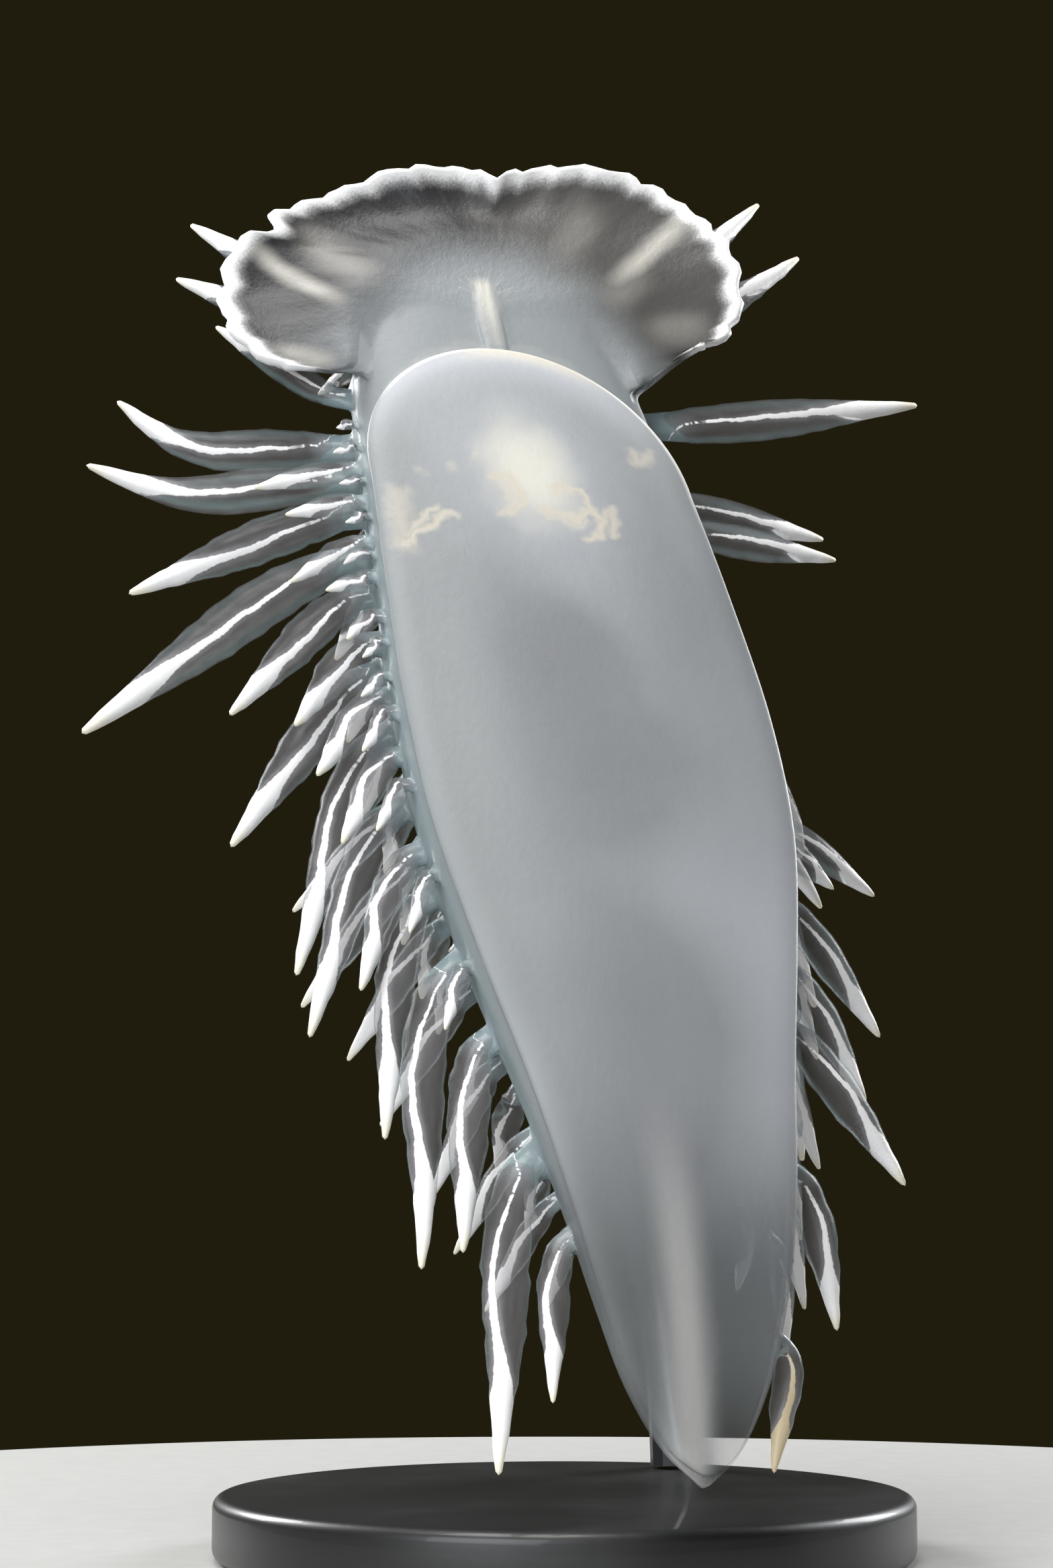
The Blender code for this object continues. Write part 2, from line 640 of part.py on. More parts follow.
def fuse(shape, additions, operation):
    """Joins closed pieces to a shape, or cuts them from it, and keeps its largest body."""
    joint = shape.modifiers.new("fuse", "BOOLEAN")
    joint.operation = operation
    joint.solver = "EXACT"
    joint.operand_type = "COLLECTION"
    joint.collection = additions
    graph = bpy.context.evaluated_depsgraph_get()
    fused = bpy.data.meshes.new_from_object(shape.evaluated_get(graph))
    shape.modifiers.remove(joint)
    old = shape.data
    shape.data = fused
    bpy.data.meshes.remove(old)
    for piece in list(additions.objects):
        bpy.data.objects.remove(piece)
    bpy.data.collections.remove(additions)
    keep_largest(fused)


def keep_largest(mesh):
    """Deletes all but the body with the most volume."""
    shell = bmesh.new()
    shell.from_mesh(mesh)
    left = set(shell.faces)
    bodies = []
    while left:
        front = [left.pop()]
        body = list(front)
        while front:
            face = front.pop()
            near = {other for edge in face.edges for other in edge.link_faces} & left
            left -= near
            front += near
            body += near
        bodies.append(body)
    bodies.sort(key=len)
    loose = [face for body in bodies[:-1] for face in body]
    bmesh.ops.delete(shell, geom=loose, context="FACES")
    shell.to_mesh(mesh)
    shell.free()


def new_material(name, colour, roughness, metallic=0.0):
    material = bpy.data.materials.new(name)
    material.use_nodes = True
    surface = material.node_tree.nodes["Principled BSDF"]
    surface.inputs["Base Color"].default_value = (*colour, 1.0)
    surface.inputs["Roughness"].default_value = roughness
    surface.inputs["Metallic"].default_value = metallic
    return material


def cutter_collection(name):
    """A collection for pieces that are joined or cut, kept out of the model."""
    holder = bpy.data.collections.new(name)
    bpy.context.scene.collection.children.link(holder)
    return holder


def as_cutter(shape):
    shape.hide_render = True
    shape.display_type = "WIRE"
    return shape


def grow_cerata(shape, chosen, cerata, lines):
    """Fuses the chosen cerata to the flank, head or tail that they grow from."""
    holder = cutter_collection(shape.name + "_cerata")
    for index in chosen:
        mesh = ceras_mesh(f"{shape.name}_ceras_{index}", lines[index], cerata[index].girth)
        as_cutter(link_object(mesh.name, mesh, holder))
    fuse(shape, holder, "UNION")


def add_lips_and_mouth(head):
    """Two lips, and the upright slit of the mouth between them."""
    lips = cutter_collection("lips")
    for name, side in (("left", 1), ("right", -1)):
        centre = (LIP_ALONG, side * LIP_SIDE, HEAD_FLOOR + LIP_RISE)
        as_cutter(ellipsoid(f"lip_{name}", centre, LIP_SIZES, lips))
    fuse(head, lips, "UNION")
    slit = cutter_collection("slit")
    as_cutter(ellipsoid("mouth_slit", (LIP_ALONG, 0.0, HEAD_FLOOR - SLIT_DROP), SLIT_SIZES, slit))
    fuse(head, slit, "DIFFERENCE")


def ellipsoid(name, centre, sizes, collection):
    """A round body whose three half sizes run along, to the side and up."""
    shell = bmesh.new()
    bmesh.ops.create_uvsphere(shell, u_segments=12, v_segments=6, radius=1.0)
    mesh = bpy.data.meshes.new(name)
    points = [placed(np.array(centre) + np.array(vertex.co) * sizes) for vertex in shell.verts]
    for vertex, point in zip(shell.verts, points):
        vertex.co = point
    bmesh.ops.recalc_face_normals(shell, faces=shell.faces)
    shell.to_mesh(mesh)
    shell.free()
    return link_object(name, mesh, collection)


def turned(name, profile, steps, base, axis, collection, material):
    """A turned piece: radius and height pairs spun round an axis from its base."""
    mesh = bpy.data.meshes.new(name)
    points = [(radius * MM, 0.0, level * MM) for radius, level in profile]
    mesh.from_pydata(points, [(index, index + 1) for index in range(len(points) - 1)], [])
    shape = link_object(name, mesh, collection, material)
    spin = shape.modifiers.new("spin", "SCREW")
    spin.axis = "Z"
    spin.steps = steps
    spin.render_steps = steps
    spin.use_merge_vertices = True
    spin.merge_threshold = 0.00001
    turn = axis.to_track_quat("Z", "Y").to_matrix().to_4x4()
    shape.matrix_world = Matrix.Translation(Vector(base)) @ turn
    return shape


def rhinophore_root(side):
    """Point of the head under one rhinophore, and the way out of the skin."""
    angle = math.acos(RHINOPHORE_SIDE / float(half_width(RHINOPHORE_ALONG)))
    return dome_point(RHINOPHORE_ALONG, side, angle)


def rhinophore_profile():
    """From the tip down: a knob, the stacked leaves of the club, and the stalk."""
    club_foot = 3.6
    club_top = RHINOPHORE_HEIGHT - 1.0
    profile = [(0.0, RHINOPHORE_HEIGHT), (0.45, RHINOPHORE_HEIGHT - 0.2)]
    pitch = (club_top - club_foot) / RHINOPHORE_LEAVES
    for leaf in range(RHINOPHORE_LEAVES):
        level = club_top - leaf * pitch
        swell = math.sin(math.pi * (0.22 + 0.62 * leaf / RHINOPHORE_LEAVES))
        profile.append((0.62 * swell + 0.1, level))
        profile.append((1.35 * swell + 0.25, level - 0.62 * pitch))
    profile += [(0.85, club_foot - 0.2), (0.9, 1.4), (1.25, 0.0), (0.0, 0.0)]
    return profile


def build_body(parts, materials):
    """The slug's own pieces, each in its node."""
    flesh = materials["flesh"]
    cuts = (FOOT_FRONT,) + FOOT_SPLITS + (REAR_END,)
    for place, start, end in zip(("front", "middle", "rear"), cuts[:-1], cuts[1:]):
        first = start if place == "front" else start + GAP
        rows = list(stations(first, end, 5.0))
        if place == "front":
            rows = [first, first + 0.5, first + 1.5, first + 3.2] + list(stations(first + 5.6, end, 4.5))
        link_object(f"foot_{place}", loft(f"foot_{place}", [foot_ring(row) for row in rows]), parts, flesh)
    spans = (
        ("front", HEAD_END + GAP, FRONT_END),
        ("middle", FRONT_END + GAP, MIDDLE_END),
        ("rear", MIDDLE_END + GAP, REAR_END),
    )
    nodes = {}
    for place, start, end in spans:
        rows = stations(start, end, 5.0)
        link_object(f"back_{place}", loft(f"back_{place}", [back_ring(row) for row in rows]), parts, flesh)
        for name, side in (("left", 1), ("right", -1)):
            title = f"flank_{name}_{place}"
            mesh = loft(title, [flank_ring(row, side) for row in rows])
            nodes[title] = (link_object(title, mesh, parts, flesh), side, start, end)
    head_rows = [HEAD_FRONT, 8.6, 10.2, 12.4, 15.2, HEAD_END]
    head = link_object("head", loft("head", [head_ring(row) for row in head_rows]), parts, flesh)
    tail_rows = list(stations(REAR_END + GAP, BODY_LENGTH - 3.5, 3.8)) + [BODY_LENGTH - 1.2, BODY_LENGTH]
    tail = link_object("tail", loft("tail", [tail_ring(row) for row in tail_rows]), parts, flesh)
    for name, side, rim in (("left", 1, VEIL_RIM_LEFT), ("right", -1, VEIL_RIM_RIGHT)):
        title = f"oral_veil_{name}"
        link_object(title, veil_mesh(title, side, rim), parts, materials["veil"])
    return head, tail, nodes


def add_all_cerata(head, tail, nodes):
    """Every ceras is bent clear of its neighbours, then fused to what carries it."""
    cerata = list(RIGHT_CERATA + LEFT_CERATA) + hidden_cerata()
    lines = spread_cerata(cerata)
    for shape, start, end in ((head, HEAD_FRONT, HEAD_END), (tail, REAR_END, BODY_LENGTH)):
        chosen = [index for index, ceras in enumerate(cerata) if start <= ceras.along <= end]
        grow_cerata(shape, chosen, cerata, lines)
    for shape, side, start, end in nodes.values():
        chosen = [
            index for index, ceras in enumerate(cerata)
            if ceras.side == side and start <= ceras.along <= end
        ]
        grow_cerata(shape, chosen, cerata, lines)


def add_rhinophores(parts, material):
    for name, side in (("left", 1), ("right", -1)):
        root, out = rhinophore_root(side)
        base = placed(root + out * GAP)
        axis = Vector(placed(root + out) - placed(root)).normalized()
        turned(f"rhinophore_{name}", rhinophore_profile(), 12, base, axis, parts, material)


def build_base(parts, material):
    """The stand's round base with its rounded rim."""
    bpy.ops.mesh.primitive_cylinder_add(
        vertices=64, radius=STAND_RADIUS * MM, depth=STAND_THICKNESS * MM,
        location=(0.0, 0.0, STAND_THICKNESS * MM / 2),
    )
    base = bpy.context.object
    base.name = "stand_base"
    base.data.materials.append(material)
    for holder in list(base.users_collection):
        holder.objects.unlink(base)
    parts.objects.link(base)
    rounding = base.modifiers.new("edge", "BEVEL")
    rounding.width = STAND_EDGE * MM
    rounding.segments = 2
    rounding.limit_method = "ANGLE"


def build_rod_and_pad(parts, material):
    """The bent rod, and the small pad that carries the slug's back."""
    back = placed((PAD_ALONG, 0.0, float(height(PAD_ALONG)) + GAP))
    away = Vector(TO_BACK)
    pad_profile = (
        (0.0, PAD_THICKNESS), (PAD_RADIUS - PAD_SLOPE, PAD_THICKNESS), (PAD_RADIUS, PAD_RIM),
        (PAD_RADIUS, 0.0), (0.0, 0.0),
    )
    turned("stand_pad", pad_profile, 24, back, away, parts, material)

    start = Vector(back) + away * ((PAD_THICKNESS + GAP) * MM)
    knee = start + away * ROD_REACH * MM
    foot = Vector((knee.x + ROD_FOOT_SHIFT * MM, knee.y, (STAND_THICKNESS + GAP) * MM))
    above_foot = foot + Vector((0.0, 0.0, ROD_UPRIGHT * MM))
    curve = bpy.data.curves.new("stand_rod", "CURVE")
    curve.dimensions = "3D"
    curve.bevel_depth = ROD_RADIUS * MM
    curve.bevel_resolution = 3
    curve.use_fill_caps = True
    line = curve.splines.new("POLY")
    shares = np.linspace(0.0, 1.0, 15)
    line.points.add(len(shares) - 1)
    for point, share in zip(line.points, shares):
        spot = start * (1 - share) ** 3 + knee * 3 * share * (1 - share) ** 2
        spot += above_foot * 3 * share**2 * (1 - share) + foot * share**3
        point.co = (*spot, 1.0)
    rod = bpy.data.objects.new("stand_rod", curve)
    parts.objects.link(rod)
    curve.materials.append(material)


def main():
    for shape in list(bpy.data.objects):
        bpy.data.objects.remove(shape)
    parts = bpy.data.collections.new("white_lined_dirona")
    bpy.context.scene.collection.children.link(parts)
    materials = {
        "flesh": new_material("flesh", (0.62, 0.68, 0.72), 0.32),
        "veil": new_material("veil", (0.72, 0.76, 0.8), 0.3),
        "stand": new_material("stand_black", (0.02, 0.02, 0.022), 0.45, 0.6),
    }
    head, tail, nodes = build_body(parts, materials)
    add_lips_and_mouth(head)
    add_all_cerata(head, tail, nodes)
    add_rhinophores(parts, materials["flesh"])
    build_base(parts, materials["stand"])
    build_rod_and_pad(parts, materials["stand"])


main()
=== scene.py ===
"""White-lined dirona: the looks of a life-size sea slug, held head up over a display stand.

The skin repeats the curves of the construction. Its points are measured in millimetres in
the slug's own frame, and become metres when they are placed. That frame has three measures:
  along - from the front of the oral veil (0) to the tip of the tail (119)
  side  - from the body's axis, positive to the animal's left
  up    - from the sole (0) to the back
"""

import logging
import math
import random
from dataclasses import dataclass, field
from enum import Enum
from functools import reduce

import bmesh
import bpy
import numpy as np
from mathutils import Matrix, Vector, kdtree


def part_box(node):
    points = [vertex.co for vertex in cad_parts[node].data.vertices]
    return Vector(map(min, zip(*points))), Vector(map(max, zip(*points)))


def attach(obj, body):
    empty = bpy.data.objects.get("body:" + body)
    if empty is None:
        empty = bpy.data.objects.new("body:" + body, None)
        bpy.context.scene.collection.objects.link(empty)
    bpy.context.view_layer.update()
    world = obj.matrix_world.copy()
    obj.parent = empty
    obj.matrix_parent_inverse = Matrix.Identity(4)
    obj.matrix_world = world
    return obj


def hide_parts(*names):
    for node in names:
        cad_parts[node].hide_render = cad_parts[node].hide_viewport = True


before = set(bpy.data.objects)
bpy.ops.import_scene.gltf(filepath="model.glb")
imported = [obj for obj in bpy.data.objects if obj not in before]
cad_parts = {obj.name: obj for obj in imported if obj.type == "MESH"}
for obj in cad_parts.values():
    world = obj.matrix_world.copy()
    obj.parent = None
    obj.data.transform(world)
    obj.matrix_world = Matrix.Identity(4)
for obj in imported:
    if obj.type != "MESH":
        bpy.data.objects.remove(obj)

log = logging.getLogger("dirona")

MM = 0.001
PHOTO_WIDTH = 1568
PHOTO_HEIGHT = 2334

Colour = tuple[float, float, float]
Place = tuple[float, float, float]
Inputs = dict[int | str, object]
Numbers = np.ndarray | float
Pairs = tuple[tuple[float, float], ...]


class Flank(Enum):
    """The two sides of the animal, as the sign of its side measure."""

    RIGHT = -1
    LEFT = 1


class Mark(Enum):
    """Vector attributes that the skin's materials read."""

    SLUG = "slug"
    BLADE = "blade"
    BLADE_SIZE = "blade_size"
    MARGIN = "margin"


class Tissue(Enum):
    """Kinds of flesh in the skin, in the order of its material slots."""

    BODY = 0
    VEIL = 1
    CERAS = 2


@dataclass(frozen=True)
class Curve:
    """A smooth curve through pairs of station and value."""

    pairs: Pairs

    def at(self, where: Numbers) -> np.ndarray:
        """Reads the curve.

        Args:
            where: One station or an array of them.

        Returns:
            The value at each station, held level past the ends.
        """
        stations, values = np.array(self.pairs, dtype=float).T
        slopes = np.gradient(values, stations)
        spot = np.clip(np.asarray(where, dtype=float), stations[0], stations[-1])
        left = np.clip(np.searchsorted(stations, spot, side="right") - 1, 0, len(stations) - 2)
        step = stations[left + 1] - stations[left]
        share = (spot - stations[left]) / step
        start = (1 + 2 * share) * (1 - share) ** 2 * values[left]
        end = share**2 * (3 - 2 * share) * values[left + 1]
        lean_out = share * (1 - share) ** 2 * step * slopes[left]
        lean_in = share**2 * (share - 1) * step * slopes[left + 1]
        return start + end + lean_out + lean_in


def smooth(value: Numbers, low: float, high: float) -> np.ndarray:
    """Soft step from 0 at low to 1 at high."""
    share = np.clip((np.asarray(value, dtype=float) - low) / (high - low), 0.0, 1.0)
    return share * share * (3 - 2 * share)


def turns_round(count: int) -> np.ndarray:
    """Even angles once round a ring."""
    return np.arange(count) * 2 * math.pi / count


def eased_stations(start: float, end: float, turn: np.ndarray) -> np.ndarray:
    """Stations from start to end, closer together near both, for turns from 0 to pi."""
    return start + (end - start) * (1 - np.cos(turn)) / 2


@dataclass(frozen=True)
class Pose:
    """How the slug hangs over its stand: its lean from upright, its bank and its front."""

    lean: float = math.radians(26.0)
    bank: float = math.radians(8.0)
    front: Place = (-3.0, 15.0, 117.5)
    bend: Curve = Curve((
        (0, -2.9), (12, -3.6), (22, -2.0), (40, 1.9), (60, 5.9), (80, 9.0), (100, 11.9), (120, 12.8),
    ))

    def axes(self) -> tuple[np.ndarray, np.ndarray, np.ndarray]:
        """World directions to the head, to the animal's left and to its back.

        Returns:
            The three unit directions.
        """
        to_head = np.array((0.0, math.sin(self.lean), math.cos(self.lean)))
        across = np.array((1.0, 0.0, 0.0))
        away = np.array((0.0, math.cos(self.lean), -math.sin(self.lean)))
        to_left = across * math.cos(self.bank) + away * math.sin(self.bank)
        to_back = away * math.cos(self.bank) - across * math.sin(self.bank)
        return to_head, to_left, to_back

    def placed(self, points: np.ndarray) -> np.ndarray:
        """Puts points of the slug's frame in the world.

        Args:
            points: Array whose last axis holds along, side and up in millimetres.

        Returns:
            The same array as world places in metres.
        """
        points = np.asarray(points, dtype=float)
        to_head, to_left, to_back = self.axes()
        bend = self.bend.at(points[..., 0])
        world = np.array(self.front) - points[..., :1] * to_head
        world = world + (points[..., 1] + bend)[..., None] * to_left + points[..., 2:] * to_back
        return world * MM


@dataclass(frozen=True)
class BodyPlan:
    """Curves of the trunk and the foot, which everything else grows from."""

    length: float = 119.0
    head_front: float = 7.5
    foot_front: float = 19.9
    foot_rounding: float = 14.1
    foot_thickness: float = 2.4
    sole_crown: float = 0.35
    widest_share: float = 0.28
    widths: Curve = Curve((
        (7.5, 3.2), (9.5, 6.2), (12, 8.6), (15, 10.3), (18, 11.4), (24, 12.6), (34, 13.4), (44, 14.2),
        (56, 14.8), (66, 14.4), (77, 12.5), (88, 10.2), (98, 8.4), (106, 6.7), (112, 5.0), (116, 3.2),
        (119, 1.2),
    ))
    heights: Curve = Curve((
        (7.5, 5.5), (9.5, 7.6), (12, 9.4), (15, 11.2), (18, 12.8), (24, 15.0), (34, 17.3), (44, 18.3),
        (56, 18.3), (66, 17.2), (77, 14.8), (88, 12.2), (98, 9.8), (104, 8.4), (112, 5.8), (119, 2.2),
    ))

    def half_width(self, along: Numbers) -> np.ndarray:
        """Half width of the trunk at a station."""
        return self.widths.at(along)

    def height(self, along: Numbers) -> np.ndarray:
        """Height of the back above the sole at a station."""
        return self.heights.at(along)

    def widest_level(self, along: Numbers) -> np.ndarray:
        """Level above the sole where the trunk is widest."""
        return self.widest_share * self.height(along) + 0.6

    def foot_half_width(self, along: np.ndarray) -> np.ndarray:
        """Half width of the sole, whose front edge is a round arc.

        Args:
            along: Stations.

        Returns:
            The half width at each.
        """
        front = self.foot_front + self.foot_rounding
        reach = np.clip((front - along) / self.foot_rounding, 0.0, 1.0)
        arc = float(self.half_width(front)) * np.sqrt(1.0 - reach**2)
        return np.where(along >= front, self.half_width(along), arc)

    def skin_point(self, along: float, side: int, angle: float) -> np.ndarray:
        """Point on the upper body's skin, at an angle up from its widest line.

        Args:
            along: Station of the point.
            side: 1 for the animal's left, -1 for its right.
            angle: Angle in radians.

        Returns:
            The point in the slug's frame.
        """
        width = float(self.half_width(along))
        level = float(self.widest_level(along))
        rise = float(self.height(along)) - level
        return np.array((along, side * width * math.cos(angle), level + rise * math.sin(angle)))

    def dome_point(self, along: float, side: int, angle: float) -> tuple[np.ndarray, np.ndarray]:
        """Finds a point of the upper skin.

        Args:
            along: Station of the point.
            side: 1 for the animal's left, -1 for its right.
            angle: Angle up from the widest line, in radians.

        Returns:
            The point, and the unit direction straight out of the skin.
        """
        nudge = 0.05
        lengthwise = self.skin_point(along + nudge, side, angle) - self.skin_point(along - nudge, side, angle)
        upward = self.skin_point(along, side, angle + nudge) - self.skin_point(along, side, angle - nudge)
        out = -side * np.cross(lengthwise, upward)
        return self.skin_point(along, side, angle), out / np.linalg.norm(out)


POSE = Pose()
PLAN = BodyPlan()


def deselect_all() -> None:
    """Leaves object mode with nothing selected."""
    if bpy.context.object and bpy.context.object.mode != "OBJECT":
        bpy.ops.object.mode_set(mode="OBJECT")
    bpy.ops.object.select_all(action="DESELECT")


def vertex_places(mesh: bpy.types.Mesh) -> np.ndarray:
    """Places of a mesh's vertices, one row for each."""
    places = np.empty(len(mesh.vertices) * 3, dtype=np.float32)
    mesh.vertices.foreach_get("co", places)
    return places.reshape(-1, 3)


@dataclass
class Shape:
    """A closed piece of flesh, its kind, and the marks of each of its vertices."""

    piece: bpy.types.Object
    tissue: Tissue
    marks: dict[Mark, np.ndarray]


@dataclass
class Rings:
    """Rings of slug points for a sleeve, the two end points, and marks at each."""

    points: np.ndarray
    ends: np.ndarray
    marks: dict[Mark, np.ndarray] = field(default_factory=dict)


class Sleeve:
    """A unit tube with closed ends, modelled once, whose copies are laid over rings of points."""

    def __init__(self, rings: int, around: int) -> None:
        """Models the unit tube.

        Args:
            rings: Number of rings along the tube.
            around: Number of vertices in each ring.
        """
        deselect_all()
        bpy.ops.mesh.primitive_cylinder_add(vertices=around, radius=1.0, depth=1.0, end_fill_type="TRIFAN")
        self.model = bpy.context.object
        bpy.ops.object.mode_set(mode="EDIT")
        bpy.ops.mesh.select_mode(type="EDGE")
        bpy.ops.mesh.select_all(action="DESELECT")
        cage = bmesh.from_edit_mesh(self.model.data)
        for edge in cage.edges:
            low, high = (vertex.co.z for vertex in edge.verts)
            edge.select_set(abs(low - high) > 0.5)
        bmesh.update_edit_mesh(self.model.data)
        bpy.ops.mesh.subdivide(number_cuts=rings - 2)
        bpy.ops.object.mode_set(mode="OBJECT")
        spots = np.array([vertex.co for vertex in self.model.data.vertices])
        turn = np.arctan2(spots[:, 1], spots[:, 0]) / (2 * math.pi) * around
        self.row = np.rint((spots[:, 2] + 0.5) * (rings - 1)).astype(int)
        self.column = np.rint(turn).astype(int) % around
        self.hub = np.hypot(spots[:, 0], spots[:, 1]) < 0.5

    def spread(self, over_rings: np.ndarray, at_ends: np.ndarray) -> np.ndarray:
        """Values for the tube's vertices from values for its rings and ends."""
        values = over_rings[self.row, self.column].copy()
        values[self.hub] = at_ends[(self.row[self.hub] > 0).astype(int)]
        return values

    def laid(self, name: str, tissue: Tissue, rings: Rings) -> Shape:
        """Copies the tube and lays the copy over rings of points.

        Args:
            name: Name of the new piece.
            tissue: Its kind of flesh.
            rings: Where its vertices go, and what marks they carry.

        Returns:
            The new piece with its marks.
        """
        mesh = self.model.data.copy()
        spots = POSE.placed(self.spread(rings.points, rings.ends))
        mesh.vertices.foreach_set("co", spots.astype(np.float32).ravel())
        piece = bpy.data.objects.new(name, mesh)
        bpy.context.scene.collection.objects.link(piece)
        shell = bmesh.new()
        shell.from_mesh(mesh)
        bmesh.ops.recalc_face_normals(shell, faces=shell.faces)
        shell.to_mesh(mesh)
        shell.free()
        marks = {Mark.SLUG: self.spread(rings.points, rings.ends)}
        for mark in Mark:
            if mark in rings.marks:
                values = rings.marks[mark]
                marks[mark] = self.spread(values, values[[0, -1]].mean(axis=1))
            elif mark is not Mark.SLUG:
                marks[mark] = np.zeros((len(spots), 3))
        return Shape(piece, tissue, marks)

    @classmethod
    def single(cls, name: str, tissue: Tissue, rings: Rings) -> Shape:
        """Makes one piece from a tube of its own, which is removed again.

        Args:
            name: Name of the new piece.
            tissue: Its kind of flesh.
            rings: Its points and marks.

        Returns:
            The new piece with its marks.
        """
        sleeve = cls(*rings.points.shape[:2])
        shape = sleeve.laid(name, tissue, rings)
        sleeve.discard()
        return shape

    def discard(self) -> None:
        """Removes the unit tube once its copies are made."""
        bpy.data.objects.remove(self.model)


@dataclass
class Trunk:
    """Head, body and tail above the foot, as one rounded sleeve."""

    rings: int = 176
    around: int = 96
    head_tip: float = 6.7
    head_round: float = 2.6
    head_core: float = 3.2
    tail_tip: float = 119.4
    tail_round: float = 2.4
    tail_core: float = 1.2
    head_end: float = 50.0
    underside: float = 1.2
    fullness: float = 0.6
    no_edge: float = 10.0
    crest_start: float = 84.0
    crest_full: float = 106.0
    crest_height: float = 1.3
    crest_width: float = 0.8

    def sections(self, along: np.ndarray, turns: np.ndarray) -> np.ndarray:
        """Closed sections of the trunk.

        Args:
            along: Stations of the sections.
            turns: Angles round each section from the left side's widest point.

        Returns:
            Array of points, one row of them for each station.
        """
        along = along[:, None]
        width = PLAN.half_width(along)
        level = PLAN.widest_level(along)
        top = PLAN.height(along) - level
        upper = np.sin(turns) >= 0
        flat = np.abs(np.cos(turns)) ** self.fullness * np.sign(np.cos(turns))
        side = width * np.where(upper, np.cos(turns), flat)
        drop = (level - self.underside) * np.abs(np.sin(turns)) ** self.fullness
        up = level + np.where(upper, top * np.sin(turns), -drop)
        crest = self.crest_height * smooth(along, self.crest_start, self.crest_full)
        crest = crest * np.exp(-((side / self.crest_width) ** 2))
        up = up + np.where(upper, crest, 0.0)
        start = np.clip((self.head_tip + self.head_round - along) / self.head_round, 0.0, 1.0)
        end = np.clip((along - self.tail_tip + self.tail_round) / self.tail_round, 0.0, 1.0)
        narrow = np.sqrt(1 - np.maximum(start, end) ** 2)
        core = np.where(along < self.head_end, self.head_core, self.tail_core)
        return np.stack((along + 0 * side, side * narrow, core + (up - core) * narrow), axis=-1)

    def shape(self) -> Shape:
        """The trunk's closed piece.

        Returns:
            The piece with its marks.
        """
        steps = (np.arange(self.rings) + 0.6) / (self.rings + 0.2)
        along = eased_stations(self.head_tip, self.tail_tip, math.pi * steps)
        points = self.sections(along, turns_round(self.around))
        ends = np.array(((self.head_tip, 0.0, self.head_core), (self.tail_tip, 0.0, self.tail_core)))
        marks = {Mark.MARGIN: np.full_like(points, self.no_edge)}
        return Sleeve.single("trunk", Tissue.BODY, Rings(points, ends, marks))


@dataclass
class Foot:
    """The creeping sole with its thin, rounded margin, as one flat slab."""

    rings: int = 200
    around: int = 88
    outline_spots: int = 1400
    tail_end: float = 118.8
    tail_round: float = 2.0
    edge_level: float = 0.55
    margin: float = 1.9
    crown_inset: float = 9.0

    def half_width(self, along: np.ndarray) -> np.ndarray:
        """Half width of the sole, rounded off at the tail."""
        past = np.clip((along - self.tail_end + self.tail_round) / self.tail_round, 0, 1)
        return PLAN.foot_half_width(along) * np.sqrt(1 - past**2)

    def from_edge(self, plan: np.ndarray) -> np.ndarray:
        """Distances of plan points from the sole's outline.

        Args:
            plan: Points by their along and side measures.

        Returns:
            Their distances, in millimetres.
        """
        turn = np.linspace(0, math.pi, self.outline_spots)
        along = eased_stations(PLAN.foot_front, self.tail_end, turn)
        outline = np.column_stack((along, self.half_width(along)))
        spots = np.abs(plan.reshape(-1, 2))
        near = [np.sqrt(((outline - spot) ** 2).sum(axis=1).min()) for spot in spots]
        return np.array(near).reshape(plan.shape[:-1])

    def shape(self) -> Shape:
        """The foot's closed piece.

        Returns:
            The piece with its marks.
        """
        steps = (np.arange(self.rings) + 0.35) / (self.rings - 0.3)
        along = eased_stations(PLAN.foot_front, self.tail_end, math.pi * steps)
        turns = turns_round(self.around)
        side = self.half_width(along)[:, None] * np.cos(turns)
        plan = np.stack((along[:, None] + 0 * side, side), axis=-1)
        inset = self.from_edge(plan)
        inset[:, np.abs(np.cos(turns)) > 0.9999] = 0.0
        round_off = np.sqrt(1 - (1 - np.clip(inset / self.margin, 0, 1)) ** 2)
        below = self.edge_level + PLAN.sole_crown * smooth(inset, 0.0, self.crown_inset)
        above = PLAN.foot_thickness - self.edge_level
        up = self.edge_level + round_off * np.where(np.sin(turns) < 0, -below, above)
        points = np.concatenate((plan, up[..., None]), axis=-1)
        ends = np.array(((PLAN.foot_front, 0.0, self.edge_level), (self.tail_end, 0.0, self.edge_level)))
        margin = np.zeros_like(points)
        margin[..., 0] = inset
        return Sleeve.single("foot", Tissue.BODY, Rings(points, ends, {Mark.MARGIN: margin}))


@dataclass(frozen=True)
class Column:
    """One radial section of the veil, by its place on the rim and on the head."""

    travel: float
    share: float
    angle: float
    reach: float
    root_angle: float
    ease: float


